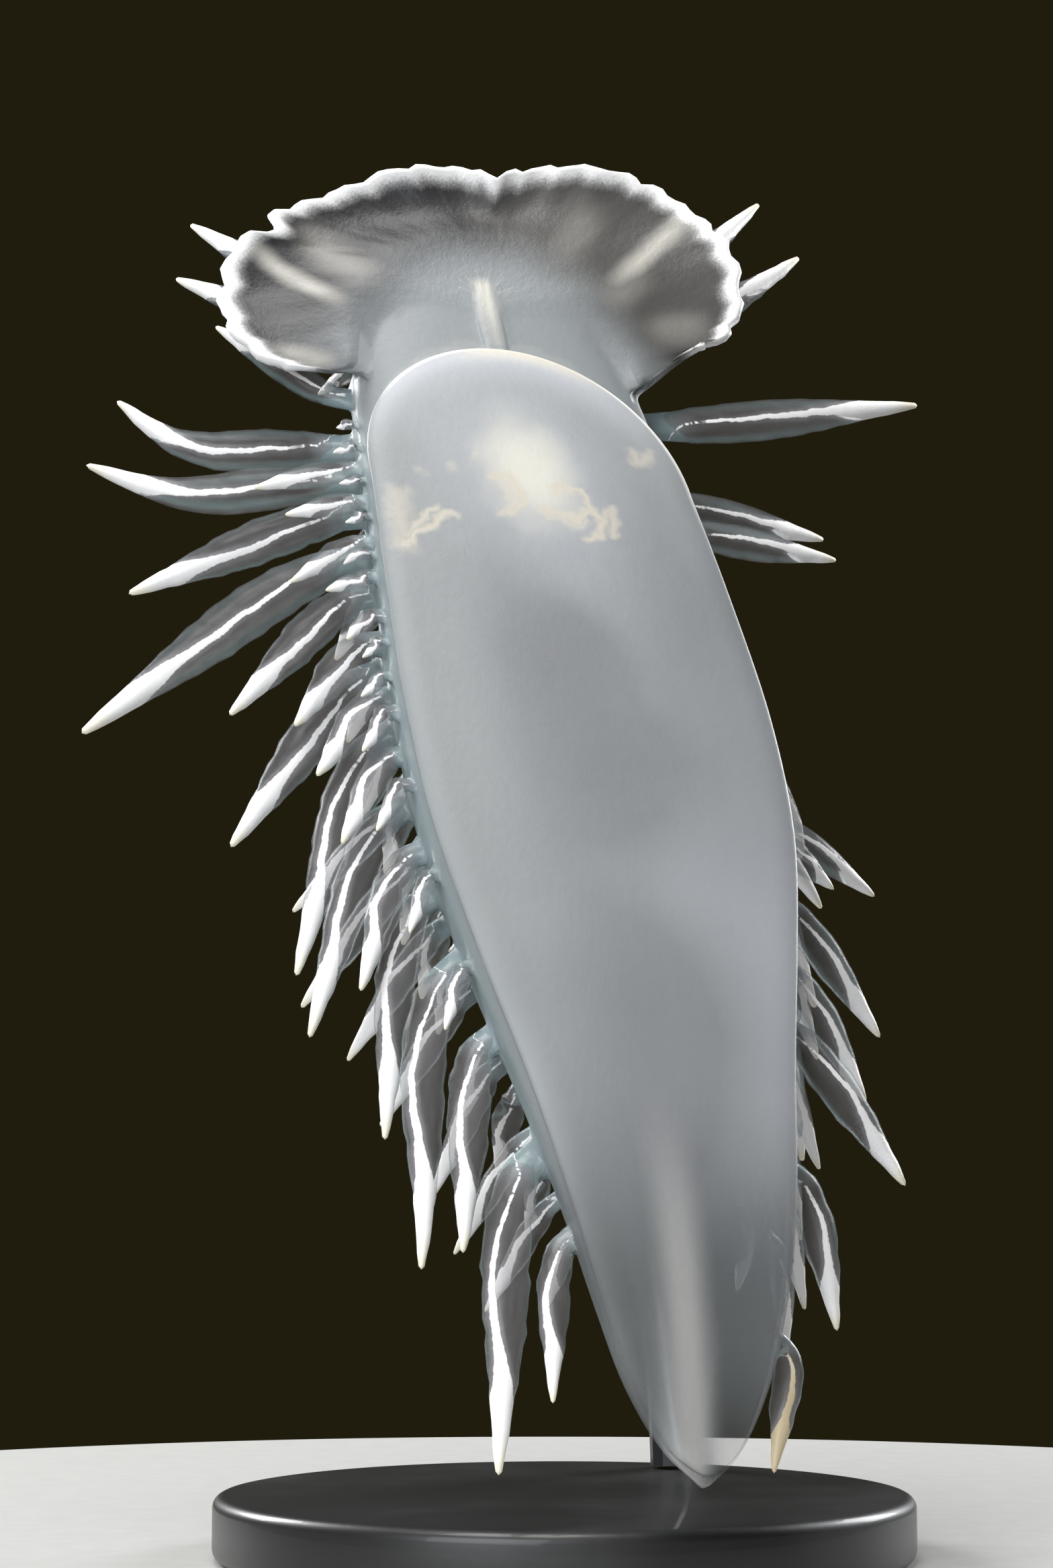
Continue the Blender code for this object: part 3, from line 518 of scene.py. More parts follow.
@dataclass
class Veil:
    """The oral veil: a thin, rippled fan round the mouth with a beaded white rim."""

    columns: int = 300
    rows: int = 24
    inner_rows: int = 7
    rim_crowding: float = 0.85
    centre: float = 14.0
    disc_back: float = 7.6
    level: float = 3.0
    drop: float = 2.6
    bowl: float = 0.3
    ripple: float = 0.35
    folds_round: float = 9.0
    core_share: float = 0.04
    end_ease: float = 1.4
    lobe_ease: float = 2.5
    notch_depth: float = 0.35
    notch_half: float = 0.6
    front_reach: float = 13.0
    root_half: float = 0.75
    sheet_half: float = 0.3
    bead: float = 0.46
    nose: float = 0.42
    nose_turns: tuple[float, ...] = (-70.0, -35.0, 0.0, 35.0, 70.0)
    flare: float = 1.15
    rear_sink: float = 0.45
    root_angles: tuple[float, float] = (-124.0, 124.0)
    rim: Pairs = (
        (-116.5, 18.0), (-112, 20.6), (-108, 21.6), (-100, 22.4), (-88, 22.1), (-80, 21.6), (-74.5, 20.7),
        (-72, 18.6), (-68.5, 19.8), (-63, 18.7), (-51, 17.0), (-39, 15.8), (-26, 14.7), (-14, 14.1),
        (-4.6, 13.5), (0, 13.1), (5, 13.6), (13, 14.8), (26, 16.7), (36, 18.6), (44.5, 20.2),
        (55.5, 21.6), (66, 22.8), (76, 23.1), (83, 22.7), (88, 21.8), (92.7, 19.8), (96.6, 17.5),
    )

    def head_reach(self, angle: float) -> float:
        """Distance from the veil's centre to the head's side, along one angle.

        Args:
            angle: Angle from straight ahead, in radians.

        Returns:
            The distance in millimetres.
        """
        reach = 4.0
        while True:
            along = self.centre - reach * math.cos(angle)
            if along < PLAN.head_front or reach * abs(math.sin(angle)) > float(PLAN.half_width(along)):
                return reach
            reach += 0.05

    def scallop(self, travel: np.ndarray) -> np.ndarray:
        """Lobes of the rim, large and small, by the distance travelled along it."""
        lobes = np.abs(np.sin(travel * 1.03 + 0.7 * np.sin(travel * 0.31)))
        small = np.abs(np.sin(travel * 2.3 + 1.1 * np.sin(travel * 0.47)))
        return 0.64 * lobes + 0.2 * small**0.8 - 0.56

    def outline(self) -> list[Column]:
        """The veil's radial sections, evenly spaced along its rim from right to left.

        Returns:
            The sections in their order.
        """
        angles, reaches = np.array(self.rim, dtype=float).T
        angles = np.radians(angles)
        steps = np.hypot(np.diff(angles) * (reaches[1:] + reaches[:-1]) / 2, np.diff(reaches))
        travel = np.concatenate(((0.0,), np.cumsum(steps)))
        length = travel[-1]
        spots = np.linspace(0.0, length, self.columns)
        angle = Curve(tuple(zip(travel, angles))).at(spots)
        taper = smooth(spots, 0.0, self.lobe_ease) * (1 - smooth(spots, length - self.lobe_ease, length))
        notch = self.notch_depth * np.exp(-((angle * self.front_reach / self.notch_half) ** 2))
        reach = Curve(tuple(zip(travel, reaches))).at(spots) + self.scallop(spots) * taper - notch
        share = spots / length
        root_angle = np.radians(self.root_angles[0] * (1 - share) + self.root_angles[1] * share)
        ease = np.minimum(spots, length - spots) / self.end_ease
        ease = np.sqrt(1 - (1 - np.clip(ease, 0.05, 1.0)) ** 2)
        return [Column(*row) for row in zip(spots, share, angle, reach, root_angle, ease)]

    def faces(self, column: Column, outs: np.ndarray, from_rim: np.ndarray) -> tuple[np.ndarray, np.ndarray]:
        """Levels of the veil's two faces along one section.

        Args:
            column: The section.
            outs: Places along it, below 0 inside the head and from 0 to 1 out to the rim.
            from_rim: Distances of those places from the rim.

        Returns:
            The levels of the underside and of the upper side.
        """
        out = np.clip(outs, 0.0, 1.0)
        ahead = max(math.cos(column.angle), 0.0)
        beside = abs(column.angle)
        wave = self.ripple * out**1.5 * math.sin(self.folds_round * beside)
        wave = wave * float(smooth(beside, 0.0, 0.3))
        bowl = self.bowl * 16 * out**2 * (1 - out) ** 2
        middle = self.level - self.drop * ahead * out**1.6 + bowl + wave
        half = self.sheet_half + (self.root_half - self.sheet_half) * (1 - smooth(out, 0.0, 0.9))
        at_end = float(smooth(abs(2 * column.share - 1), 0.6, 1.0))
        flare = self.flare * (1 - smooth(out, 0.0, 0.95)) * (1 - 0.6 * at_end)
        swell = 0.5 + 0.5 * math.sin(column.travel * 2.1 + 1.3 * math.sin(column.travel * 0.7))
        bead = (self.bead + 0.1 * swell - self.sheet_half) * np.exp(-(from_rim**2))
        low = middle - half - bead * 0.9 - flare + self.rear_sink * at_end * (outs < 0.0)
        return low, low + (2 * half + bead * 1.6 + flare) * column.ease

    def section(self, column: Column) -> tuple[np.ndarray, np.ndarray]:
        """Shapes one radial section.

        Args:
            column: Where it lies.

        Returns:
            Its closed ring of points, out along the underside, round the rim and back along the
            upper side, and their marks.
        """
        edge = column.reach * np.array((-math.cos(column.angle), math.sin(column.angle)))
        root_way = np.array((-math.cos(column.root_angle), math.sin(column.root_angle)))
        root = self.head_reach(column.root_angle) * root_way
        inner = np.array((self.disc_back * smooth(abs(2 * column.share - 1), 0.5, 1.0), 0.0))
        inner_outs = np.linspace(-1.0, -0.14, self.inner_rows)
        outs = np.concatenate((inner_outs, np.linspace(0.0, 1.0, self.rows) ** self.rim_crowding))
        plan = np.where(
            outs[:, None] >= 0,
            root + (edge - root) * outs[:, None],
            root + (root - inner) * (1 - self.core_share) * outs[:, None],
        )
        out = np.clip(outs, 0.0, 1.0)
        from_rim = (1 - out) * np.linalg.norm(edge - root)
        low, high = self.faces(column, outs, from_rim)
        middle, half = (low[-1] + high[-1]) / 2, (high[-1] - low[-1]) / 2
        nose = np.array([
            (*(edge * (1 + self.nose * math.cos(turn) / column.reach)), middle + half * math.sin(turn))
            for turn in (math.radians(degrees) for degrees in self.nose_turns)
        ])
        ring = np.vstack((np.column_stack((plan, low)), nose, np.column_stack((plan, high))[::-1]))
        ring[:, 0] += self.centre
        distance = np.concatenate((from_rim, np.zeros(len(nose)), from_rim[::-1]))
        outward = np.concatenate((out, np.ones(len(nose)), out[::-1]))
        return ring, np.column_stack((distance, outward, np.full(len(distance), column.travel)))

    def shape(self) -> Shape:
        """The veil's closed piece, its inner part sunk in the head round the mouth.

        Returns:
            The piece with its marks.
        """
        rings, marks = zip(*(self.section(column) for column in self.outline()))
        points = np.array(rings)
        ends = points[[0, -1]].mean(axis=1)
        return Sleeve.single("veil", Tissue.VEIL, Rings(points, ends, {Mark.MARGIN: np.array(marks)}))


@dataclass
class Ceras:
    """One ceras: its root on the flank, its tip in the slug's frame, and its girth."""

    side: int
    along: float
    row: float
    tip: Place
    girth: float
    curl: float = 0.0
    shown: bool = True


@dataclass(frozen=True)
class Row:
    """A row of cerata that the front view hides: where it runs and how it stands."""

    side: int
    level: float
    stand: float
    start: float
    end: float
    size: float


RIGHT_CERATA = (
    Ceras(-1, 14.2, 12, (-0.6, -25.7, 12.0), 1.7),
    Ceras(-1, 17.4, 2, (7.0, -26.1, 10.5), 1.6),
    Ceras(-1, 23.4, 2, (14.1, -22.5, 8.0), 1.5),
    Ceras(-1, 26.2, 14, (26.6, -33.6, 11.0), 1.9, 52.0),
    Ceras(-1, 26.9, -8, (27.1, -14.6, 3.9), 0.5),
    Ceras(-1, 29.1, -8, (29.9, -15.4, 3.9), 0.5),
    Ceras(-1, 30.0, 10, (33.8, -35.6, 9.0), 2.0, 34.0),
    Ceras(-1, 30.8, -4, (33.2, -22.4, 5.0), 1.1),
    Ceras(-1, 32.4, -8, (32.9, -15.5, 3.9), 0.45),
    Ceras(-1, 33.2, 8, (40.6, -33.6, 11.0), 1.8),
    Ceras(-1, 34.2, -5, (36.0, -20.4, 4.6), 1.0),
    Ceras(-1, 36.0, -8, (36.9, -15.9, 3.9), 0.5),
    Ceras(-1, 37.2, 9, (55.2, -39.5, 10.0), 2.1),
    Ceras(-1, 38.0, -5, (42.6, -21.2, 4.8), 1.0),
    Ceras(-1, 39.8, -8, (41.2, -16.9, 3.9), 0.55),
    Ceras(-1, 41.2, 6, (53.7, -27.6, 8.0), 1.6),
    Ceras(-1, 41.7, -6, (43.6, -18.6, 4.2), 0.9),
    Ceras(-1, 45.6, -7, (48.4, -17.8, 4.0), 0.8),
    Ceras(-1, 46.3, 4, (54.6, -22.6, 7.6), 1.5),
    Ceras(-1, 47.6, 14, (63.6, -28.6, 12.0), 1.8),
    Ceras(-1, 48.2, -8, (50.2, -16.9, 3.9), 0.55),
    Ceras(-1, 51.4, -7, (53.9, -17.6, 3.9), 0.65),
    Ceras(-1, 51.9, 2, (59.5, -21.6, 7.0), 1.4),
    Ceras(-1, 53.0, 14, (74.3, -24.6, 13.0), 1.7),
    Ceras(-1, 54.8, -7, (59.2, -18.4, 3.9), 0.85),
    Ceras(-1, 57.6, 0, (66.0, -20.6, 6.4), 1.3),
    Ceras(-1, 60.4, 12, (80.5, -24.4, 11.5), 1.6),
    Ceras(-1, 61.4, -7, (66.4, -18.3, 3.9), 0.85),
    Ceras(-1, 66.0, 4, (78.5, -20.6, 7.2), 1.4),
    Ceras(-1, 68.4, 14, (89.1, -19.8, 11.0), 1.6),
    Ceras(-1, 69.6, -7, (75.2, -16.8, 3.8), 0.8),
    Ceras(-1, 75.4, 8, (100.7, -18.6, 8.6), 1.7),
    Ceras(-1, 77.6, -6, (83.4, -15.2, 3.7), 0.8),
    Ceras(-1, 82.4, 6, (99.8, -15.6, 7.2), 1.6),
    Ceras(-1, 92.0, 8, (116.9, -13.7, 7.0), 1.8),
    Ceras(-1, 99.6, 2, (112.3, -10.0, 4.6), 1.2),
)
LEFT_CERATA = (
    Ceras(1, 13.6, 12, (-8.5, 26.0, 11.0), 1.7),
    Ceras(1, 17.5, 8, (-2.5, 29.5, 11.0), 1.8),
    Ceras(1, 22.4, 10, (12.6, 40.5, 12.0), 1.9),
    Ceras(1, 28.8, 14, (25.4, 30.0, 16.0), 1.7),
    Ceras(1, 32.6, 8, (30.5, 28.9, 12.0), 1.6),
    Ceras(1, 36.6, 0, (38.8, 17.2, 9.0), 1.0),
    Ceras(1, 59.6, 12, (62.8, 24.4, 14.0), 1.5),
    Ceras(1, 63.6, 2, (66.4, 19.0, 7.6), 1.2),
    Ceras(1, 67.4, 12, (76.4, 21.8, 13.0), 1.6),
    Ceras(1, 74.4, 8, (83.6, 18.6, 10.4), 1.6),
    Ceras(1, 79.6, 10, (90.3, 20.4, 11.0), 1.7),
    Ceras(1, 92.4, 6, (104.0, 12.2, 8.0), 1.4),
    Ceras(1, 107.0, 4, (116.8, 5.8, 4.6), 1.1),
)


@dataclass
class CerataPlan:
    """Where every ceras stands: the ones seen from the front, and the rows behind them."""

    shares: tuple[float, ...] = (0.0, 0.08, 0.22, 0.38, 0.54, 0.70, 0.84, 0.94, 1.0)
    room: tuple[float, ...] = (0.46, 0.54, 0.82, 1.0, 0.97, 0.84, 0.62, 0.36, 0.14)
    widths: tuple[float, ...] = (0.72, 0.80, 0.93, 1.0, 0.92, 0.68, 0.42, 0.27, 0.13)
    depths: tuple[float, ...] = (0.38, 0.44, 0.66, 0.81, 0.78, 0.60, 0.38, 0.25, 0.12)
    sweep: Curve = Curve(((18, -45), (30, -25), (44, 5), (58, 26), (74, 42), (100, 60)))
    reach: Curve = Curve(((18, 15), (30, 18), (50, 20), (70, 19), (86, 16), (100, 12)))
    rows: tuple[Row, ...] = (
        Row(1, 28, 58, 22.4, 99.0, 1.0),
        Row(1, 42, 74, 25.6, 99.0, 0.9),
        Row(1, 10, 62, 40.0, 58.0, 0.65),
        Row(-1, 28, 44, 58.0, 99.0, 0.85),
        Row(-1, 42, 82, 22.4, 99.0, 0.8),
    )
    spacing: float = 6.2
    hidden_girth: float = 0.082
    turn_share: float = 0.4
    root_stand: float = 0.8
    on_head: tuple[tuple[float, ...], ...] = ((10.6, 20, -58, 34, 12.0), (15.2, 38, -40, 62, 12.0))
    cuts: tuple[float, ...] = (19.6, 44.0, 72.0, 104.0)
    cut_room: float = 2.0
    root_depth: float = 1.7
    clearance: float = 0.55
    skin_clearance: float = 0.45
    base_clearance: float = 1.2
    rounds: int = 160
    longest_push: float = 0.6
    push_share: float = 0.25
    fixed_push_share: float = 0.5
    shown_freedom: Place = (0.35, 0.35, 1.0)
    seed: int = 11
    veil_top: float = 4.6
    veil_back: float = 24.5
    rhinophore_room: float = 2.8
    rhinophore_spots: int = 7
    pad_spots: int = 8
    pad_along: float = 56.0
    pad_radius: float = 4.2
    pad_gap: float = 0.3
    pad_height: float = 16.0
    base_thickness: float = 5.0

    def all_cerata(self) -> list[Ceras]:
        """Every ceras, with the hidden rows drawn from a seeded source.

        Returns:
            The cerata, those seen from the front first.
        """
        draw = random.Random(self.seed)
        found = list(RIGHT_CERATA + LEFT_CERATA)
        for flank in Flank:
            for along, level, sweep, stand, reach in self.on_head:
                reach = reach * draw.uniform(0.9, 1.1)
                found.append(self.grown(flank.value, along, level, sweep, stand, reach))
        for row in self.rows:
            for along in np.arange(row.start, row.end, self.spacing):
                spot = self.clear_of_cuts(along + draw.uniform(-0.5, 0.5))
                sweep = float(self.sweep.at(spot)) + draw.uniform(-7, 7)
                stand = row.stand + draw.uniform(-5, 5)
                reach = float(self.reach.at(spot)) * row.size * draw.uniform(0.87, 1.12)
                found.append(self.grown(row.side, spot, row.level, sweep, stand, reach))
        return found

    def clear_of_cuts(self, along: float) -> float:
        """A root's place, kept off the cuts between the flank's lengths.

        Args:
            along: Station that was drawn.

        Returns:
            The nearest station that is clear.
        """
        for cut in self.cuts:
            if abs(along - cut) < self.cut_room:
                return cut + math.copysign(self.cut_room, along - cut)
        return along

    def grown(self, side: int, along: float, row: float, sweep: float, stand: float, reach: float) -> Ceras:
        """A ceras given by its sweep, its stand and its reach instead of by its tip.

        Args:
            side: 1 for the animal's left, -1 for its right.
            along: Station of its root.
            row: Angle of its root up from the widest line, in degrees.
            sweep: How far it leans to the tail, in degrees.
            stand: How far it stands up, in degrees.
            reach: Distance from its root to its tip.

        Returns:
            The ceras.
        """
        root, _ = PLAN.dome_point(along, side, math.radians(row))
        sweep = math.radians(sweep)
        stand = math.radians(stand)
        level = reach * math.cos(stand)
        tip = root + (level * math.sin(sweep), side * level * math.cos(sweep), reach * math.sin(stand))
        return Ceras(side, along, row, tuple(tip), self.hidden_girth * reach, shown=False)

    def line(self, ceras: Ceras) -> np.ndarray:
        """Points along a ceras: out of the skin first, round to its tip, then its curl.

        Args:
            ceras: The ceras.

        Returns:
            Its points, the first one sunk in the body.
        """
        root, out = PLAN.dome_point(ceras.along, ceras.side, math.radians(ceras.row))
        sink = min(self.root_depth, 0.15 * float(PLAN.half_width(ceras.along)))
        tip = np.array(ceras.tip)
        reach = np.linalg.norm(tip - root)
        shares = np.array(self.shares)
        turn = np.clip(shares / self.turn_share, 0.0, 1.0)
        turn = (turn**2 * (3 - 2 * turn))[:, None]
        heading = out * (1 - turn) * self.root_stand + (tip - root) / reach
        heading /= np.linalg.norm(heading, axis=1)[:, None]
        steps = np.diff(shares)[:, None] * (heading[1:] + heading[:-1]) / 2 * reach
        steps += (tip - root - steps.sum(axis=0)) * np.diff(shares)[:, None]
        bend = np.radians(ceras.curl) * np.clip((shares[1:] - 0.6) / 0.3, 0.0, 1.0) * ceras.side
        curled = steps.copy()
        curled[:, 0] = steps[:, 0] * np.cos(bend) - steps[:, 1] * np.sin(bend)
        curled[:, 1] = steps[:, 0] * np.sin(bend) + steps[:, 1] * np.cos(bend)
        line = root + np.vstack((np.zeros(3), np.cumsum(curled, axis=0)))
        line[0] = root - out * sink
        return line

    def kept_off_body(self, points: np.ndarray, girths: np.ndarray) -> np.ndarray:
        """Moves points out of the body, the veil's layer and the stand's base.

        Args:
            points: Points along the cerata, which are moved in place.
            girths: Radius at each point.

        Returns:
            The same points.
        """
        along = points[..., 0]
        width = PLAN.half_width(along) + girths + self.skin_clearance
        level = PLAN.widest_level(along)
        rise = PLAN.height(along) - level + girths + self.skin_clearance
        lift = np.maximum(points[..., 2] - level, 0.0)
        reach = np.sqrt((points[..., 1] / width) ** 2 + (lift / rise) ** 2)
        inside = (reach < 1.0) & (along > PLAN.head_front - 2.0) & (along < PLAN.length + 1.0)
        grow = np.where(inside, 1.0 / np.maximum(reach, 0.3), 1.0)
        points[..., 1] *= grow
        points[..., 2] = np.where(points[..., 2] > level, level + lift * grow, points[..., 2])
        veil_top = self.veil_top + girths
        near_veil = (along < self.veil_back) & (points[..., 2] < veil_top)
        points[..., 2] = np.where(near_veil, veil_top, points[..., 2])
        world_height = POSE.placed(points)[..., 2] / MM
        too_low = np.maximum(self.base_thickness + self.base_clearance + girths - world_height, 0.0)
        points[..., 0] -= too_low / POSE.axes()[0][2]
        return points

    def fixed_lines(self) -> tuple[np.ndarray, np.ndarray]:
        """Points and radii of the pieces that the cerata grow clear of.

        Returns:
            The points, and the radius at each.
        """
        points = []
        radii = []
        feelers = Rhinophores()
        for flank in Flank:
            base, out = feelers.root(flank.value)
            points += [base + out * step for step in np.linspace(0.0, feelers.height, self.rhinophore_spots)]
            radii += [self.rhinophore_room] * self.rhinophore_spots
        top = float(PLAN.height(self.pad_along)) + self.pad_gap
        steps = np.linspace(0.0, self.pad_height, self.pad_spots)
        points += [(self.pad_along, 0.0, top + step) for step in steps]
        radii += [self.pad_radius] * self.pad_spots
        return np.array(points), np.array(radii)

    def push(
        self,
        points: np.ndarray,
        radii: np.ndarray,
        others: np.ndarray,
        other_radii: np.ndarray,
        counted: Numbers,
    ) -> np.ndarray:
        """How far each point is pushed away from others that stand too near.

        Args:
            points: The points that are pushed.
            radii: Their radii.
            others: The points that push them.
            other_radii: Their radii.
            counted: 1 for each pair that counts and 0 for the rest.

        Returns:
            The sum of the overlaps of each point, as vectors.
        """
        between = points[:, None, :] - others[None, :, :]
        distance = np.linalg.norm(between, axis=2) + 1e-9
        overlap = (radii[:, None] + other_radii[None, :] + self.clearance - distance) * counted
        overlap = np.maximum(overlap, 0.0)
        return (between / distance[..., None] * overlap[..., None]).sum(axis=1)

    def lines(self, cerata: list[Ceras]) -> np.ndarray:
        """Bends all the cerata apart until none crosses another.

        Args:
            cerata: Every ceras.

        Returns:
            The points along each ceras.
        """
        lines = np.array([self.line(ceras) for ceras in cerata])
        girths = np.array([ceras.girth for ceras in cerata])[:, None] * np.array(self.room)
        freedom = np.array([self.shown_freedom if ceras.shown else (1.0, 1.0, 1.0) for ceras in cerata])
        give = np.clip((np.array(self.shares) - 0.08) / 0.3, 0.0, 1.0)[None, :, None]
        steps = np.linalg.norm(np.diff(lines, axis=1), axis=2)
        obstacles, obstacle_radii = self.fixed_lines()
        count, length = girths.shape
        owner = np.repeat(np.arange(count), length)
        radii = girths.reshape(-1)
        apart = owner[:, None] != owner[None, :]
        for _ in range(self.rounds):
            flat = lines.reshape(-1, 3)
            push = self.push(flat, radii, flat, radii, apart) * self.push_share
            push += self.push(flat, radii, obstacles, obstacle_radii, 1.0) * self.fixed_push_share
            push = push.reshape(lines.shape) * freedom[:, None, :] * give
            push[:, 1:-1] = (push[:, :-2] + 2 * push[:, 1:-1] + push[:, 2:]) / 4
            lines = lines + np.clip(push * give, -self.longest_push, self.longest_push)
            lines[:, 2:] = self.kept_off_body(lines[:, 2:].copy(), girths[:, 2:])
            for joint in range(2, length):
                stretch = lines[:, joint] - lines[:, joint - 1]
                size = np.linalg.norm(stretch, axis=1)[:, None]
                lines[:, joint] = lines[:, joint - 1] + stretch / size * steps[:, joint - 1 : joint]
        return lines


@dataclass
class CerataCoat:
    """The cerata as smooth, slightly flattened blades with a raised keel on each face."""

    plan: CerataPlan = field(default_factory=CerataPlan)
    rings: int = 27
    around: int = 16
    keel: float = 0.08
    waviness: float = 0.05
    line_drift: float = 0.12
    front: Place = (0.44, -0.12, -0.89)
    upright: Place = (0.12, 0.0, 1.0)
    seed: int = 5

    def line_shift(self, ceras: Ceras) -> float:
        """How far the white line stands off the blade's middle, as a share of its half width."""
        if ceras.along > 50:
            return 0.5 if ceras.side < 0 else -0.28
        return -0.14 if ceras.side < 0 and ceras.along > 20 else 0.0

    def rings_of(self, ceras: Ceras, line: np.ndarray, draw: random.Random) -> Rings:
        """Rings along one ceras.

        Args:
            ceras: The ceras.
            line: Its points, root first.
            draw: Seeded source of its irregularities.

        Returns:
            The blade's rings with their marks.
        """
        shares = self.plan.shares
        fine = (np.arange(self.rings) / (self.rings - 1)) ** 0.92
        spots = np.stack([Curve(tuple(zip(shares, line[:, axis]))).at(fine) for axis in range(3)], axis=1)
        width = Curve(tuple(zip(shares, self.plan.widths))).at(fine) * ceras.girth
        depth = Curve(tuple(zip(shares, self.plan.depths))).at(fine) * ceras.girth
        length = np.linalg.norm(np.diff(spots, axis=0), axis=1).sum()
        ahead = np.gradient(spots, axis=0)
        ahead /= np.linalg.norm(ahead, axis=1)[:, None]
        across = np.cross(ahead, self.upright)
        across /= np.linalg.norm(across, axis=1)[:, None]
        upward = np.cross(across, ahead)
        twist = math.radians(draw.uniform(-9, 9)) + math.radians(draw.uniform(-14, 14)) * fine
        phase = draw.uniform(0, 6)
        shift = self.line_shift(ceras) + draw.uniform(-self.line_drift, self.line_drift)
        seed = draw.uniform(0, 1)
        turns = turns_round(self.around)
        ripple = np.sin(fine * length * 1.7 + phase) + 0.7 * np.sin(fine * length * 3.1 + 2 * phase)
        ridge = 1 + self.keel * np.abs(np.cos(turns)) ** 6
        points, blade, margin, size = (np.zeros((self.rings, self.around, 3)) for _ in range(4))
        for index in range(self.rings):
            cos, sin = math.cos(twist[index]), math.sin(twist[index])
            wide = across[index] * cos + upward[index] * sin
            deep = upward[index] * cos - across[index] * sin
            edge = 1 + self.waviness * ripple[index] * np.sign(np.sin(turns)) * np.sin(turns) ** 2
            offsets = np.outer(np.sin(turns) * edge, wide) * width[index]
            offsets -= np.outer(np.cos(turns) * ridge, deep) * depth[index]
            points[index] = spots[index] + offsets
            thin = depth[index] / width[index]
            seen = turns - math.atan2(thin * np.dot(self.front, wide), -np.dot(self.front, deep))
            blade[index] = np.column_stack((0 * turns + fine[index], np.cos(seen), np.sin(seen)))
        margin[..., 0] = np.abs(np.sin(turns))
        margin[..., 1] = (shift * (smooth(fine, 0.1, 0.5) * (1 - smooth(fine, 0.5, 0.8))))[:, None]
        size[..., 0] = width[:, None]
        size[..., 1] = length
        size[..., 2] = seed
        tip = spots[-1] + ahead[-1] * width[-1] * 1.1
        marks = {Mark.BLADE: blade, Mark.BLADE_SIZE: size, Mark.MARGIN: margin}
        return Rings(points, np.array((spots[0], tip)), marks)

    def shapes(self) -> list[Shape]:
        """All the cerata, each a copy of one sleeve.

        Returns:
            The closed pieces with their marks.
        """
        draw = random.Random(self.seed)
        cerata = self.plan.all_cerata()
        sleeve = Sleeve(self.rings, self.around)
        found = [
            sleeve.laid(f"ceras_{index}", Tissue.CERAS, self.rings_of(ceras, line, draw))
            for index, (ceras, line) in enumerate(zip(cerata, self.plan.lines(cerata)))
        ]
        sleeve.discard()
        return found


@dataclass
class Mouth:
    """Two low lips, side by side, ahead of the foot."""

    centre: Place = (17.0, 0.1, 1.16)
    length: float = 11.0
    lip_width: float = 0.75
    lip_height: float = 0.18
    lip_apart: float = 0.36
    from_rim: float = 10.0
    rings: int = 15
    around: int = 20

    def lip(self, sign: int) -> Shape:
        """One long, low lip, on the right for -1 and on the left for 1.

        Args:
            sign: -1 or 1.

        Returns:
            The closed piece with its marks.
        """
        along, side, up = self.centre
        side += sign * self.lip_apart
        steps = (np.arange(self.rings) + 0.5) / self.rings * math.pi
        round_off = np.sin(steps)[:, None]
        turns = turns_round(self.around)
        half = self.length / 2
        points = np.stack(
            (
                along - half * np.cos(steps)[:, None] + 0 * turns,
                side + self.lip_width * round_off * np.cos(turns),
                up + self.lip_height * round_off * np.sin(turns),
            ),
            axis=-1,
        )
        ends = np.array(((along - half, side, up), (along + half, side, up)))
        margin = np.zeros_like(points)
        margin[..., 0] = self.from_rim
        return Sleeve.single(f"lip_{sign}", Tissue.VEIL, Rings(points, ends, {Mark.MARGIN: margin}))


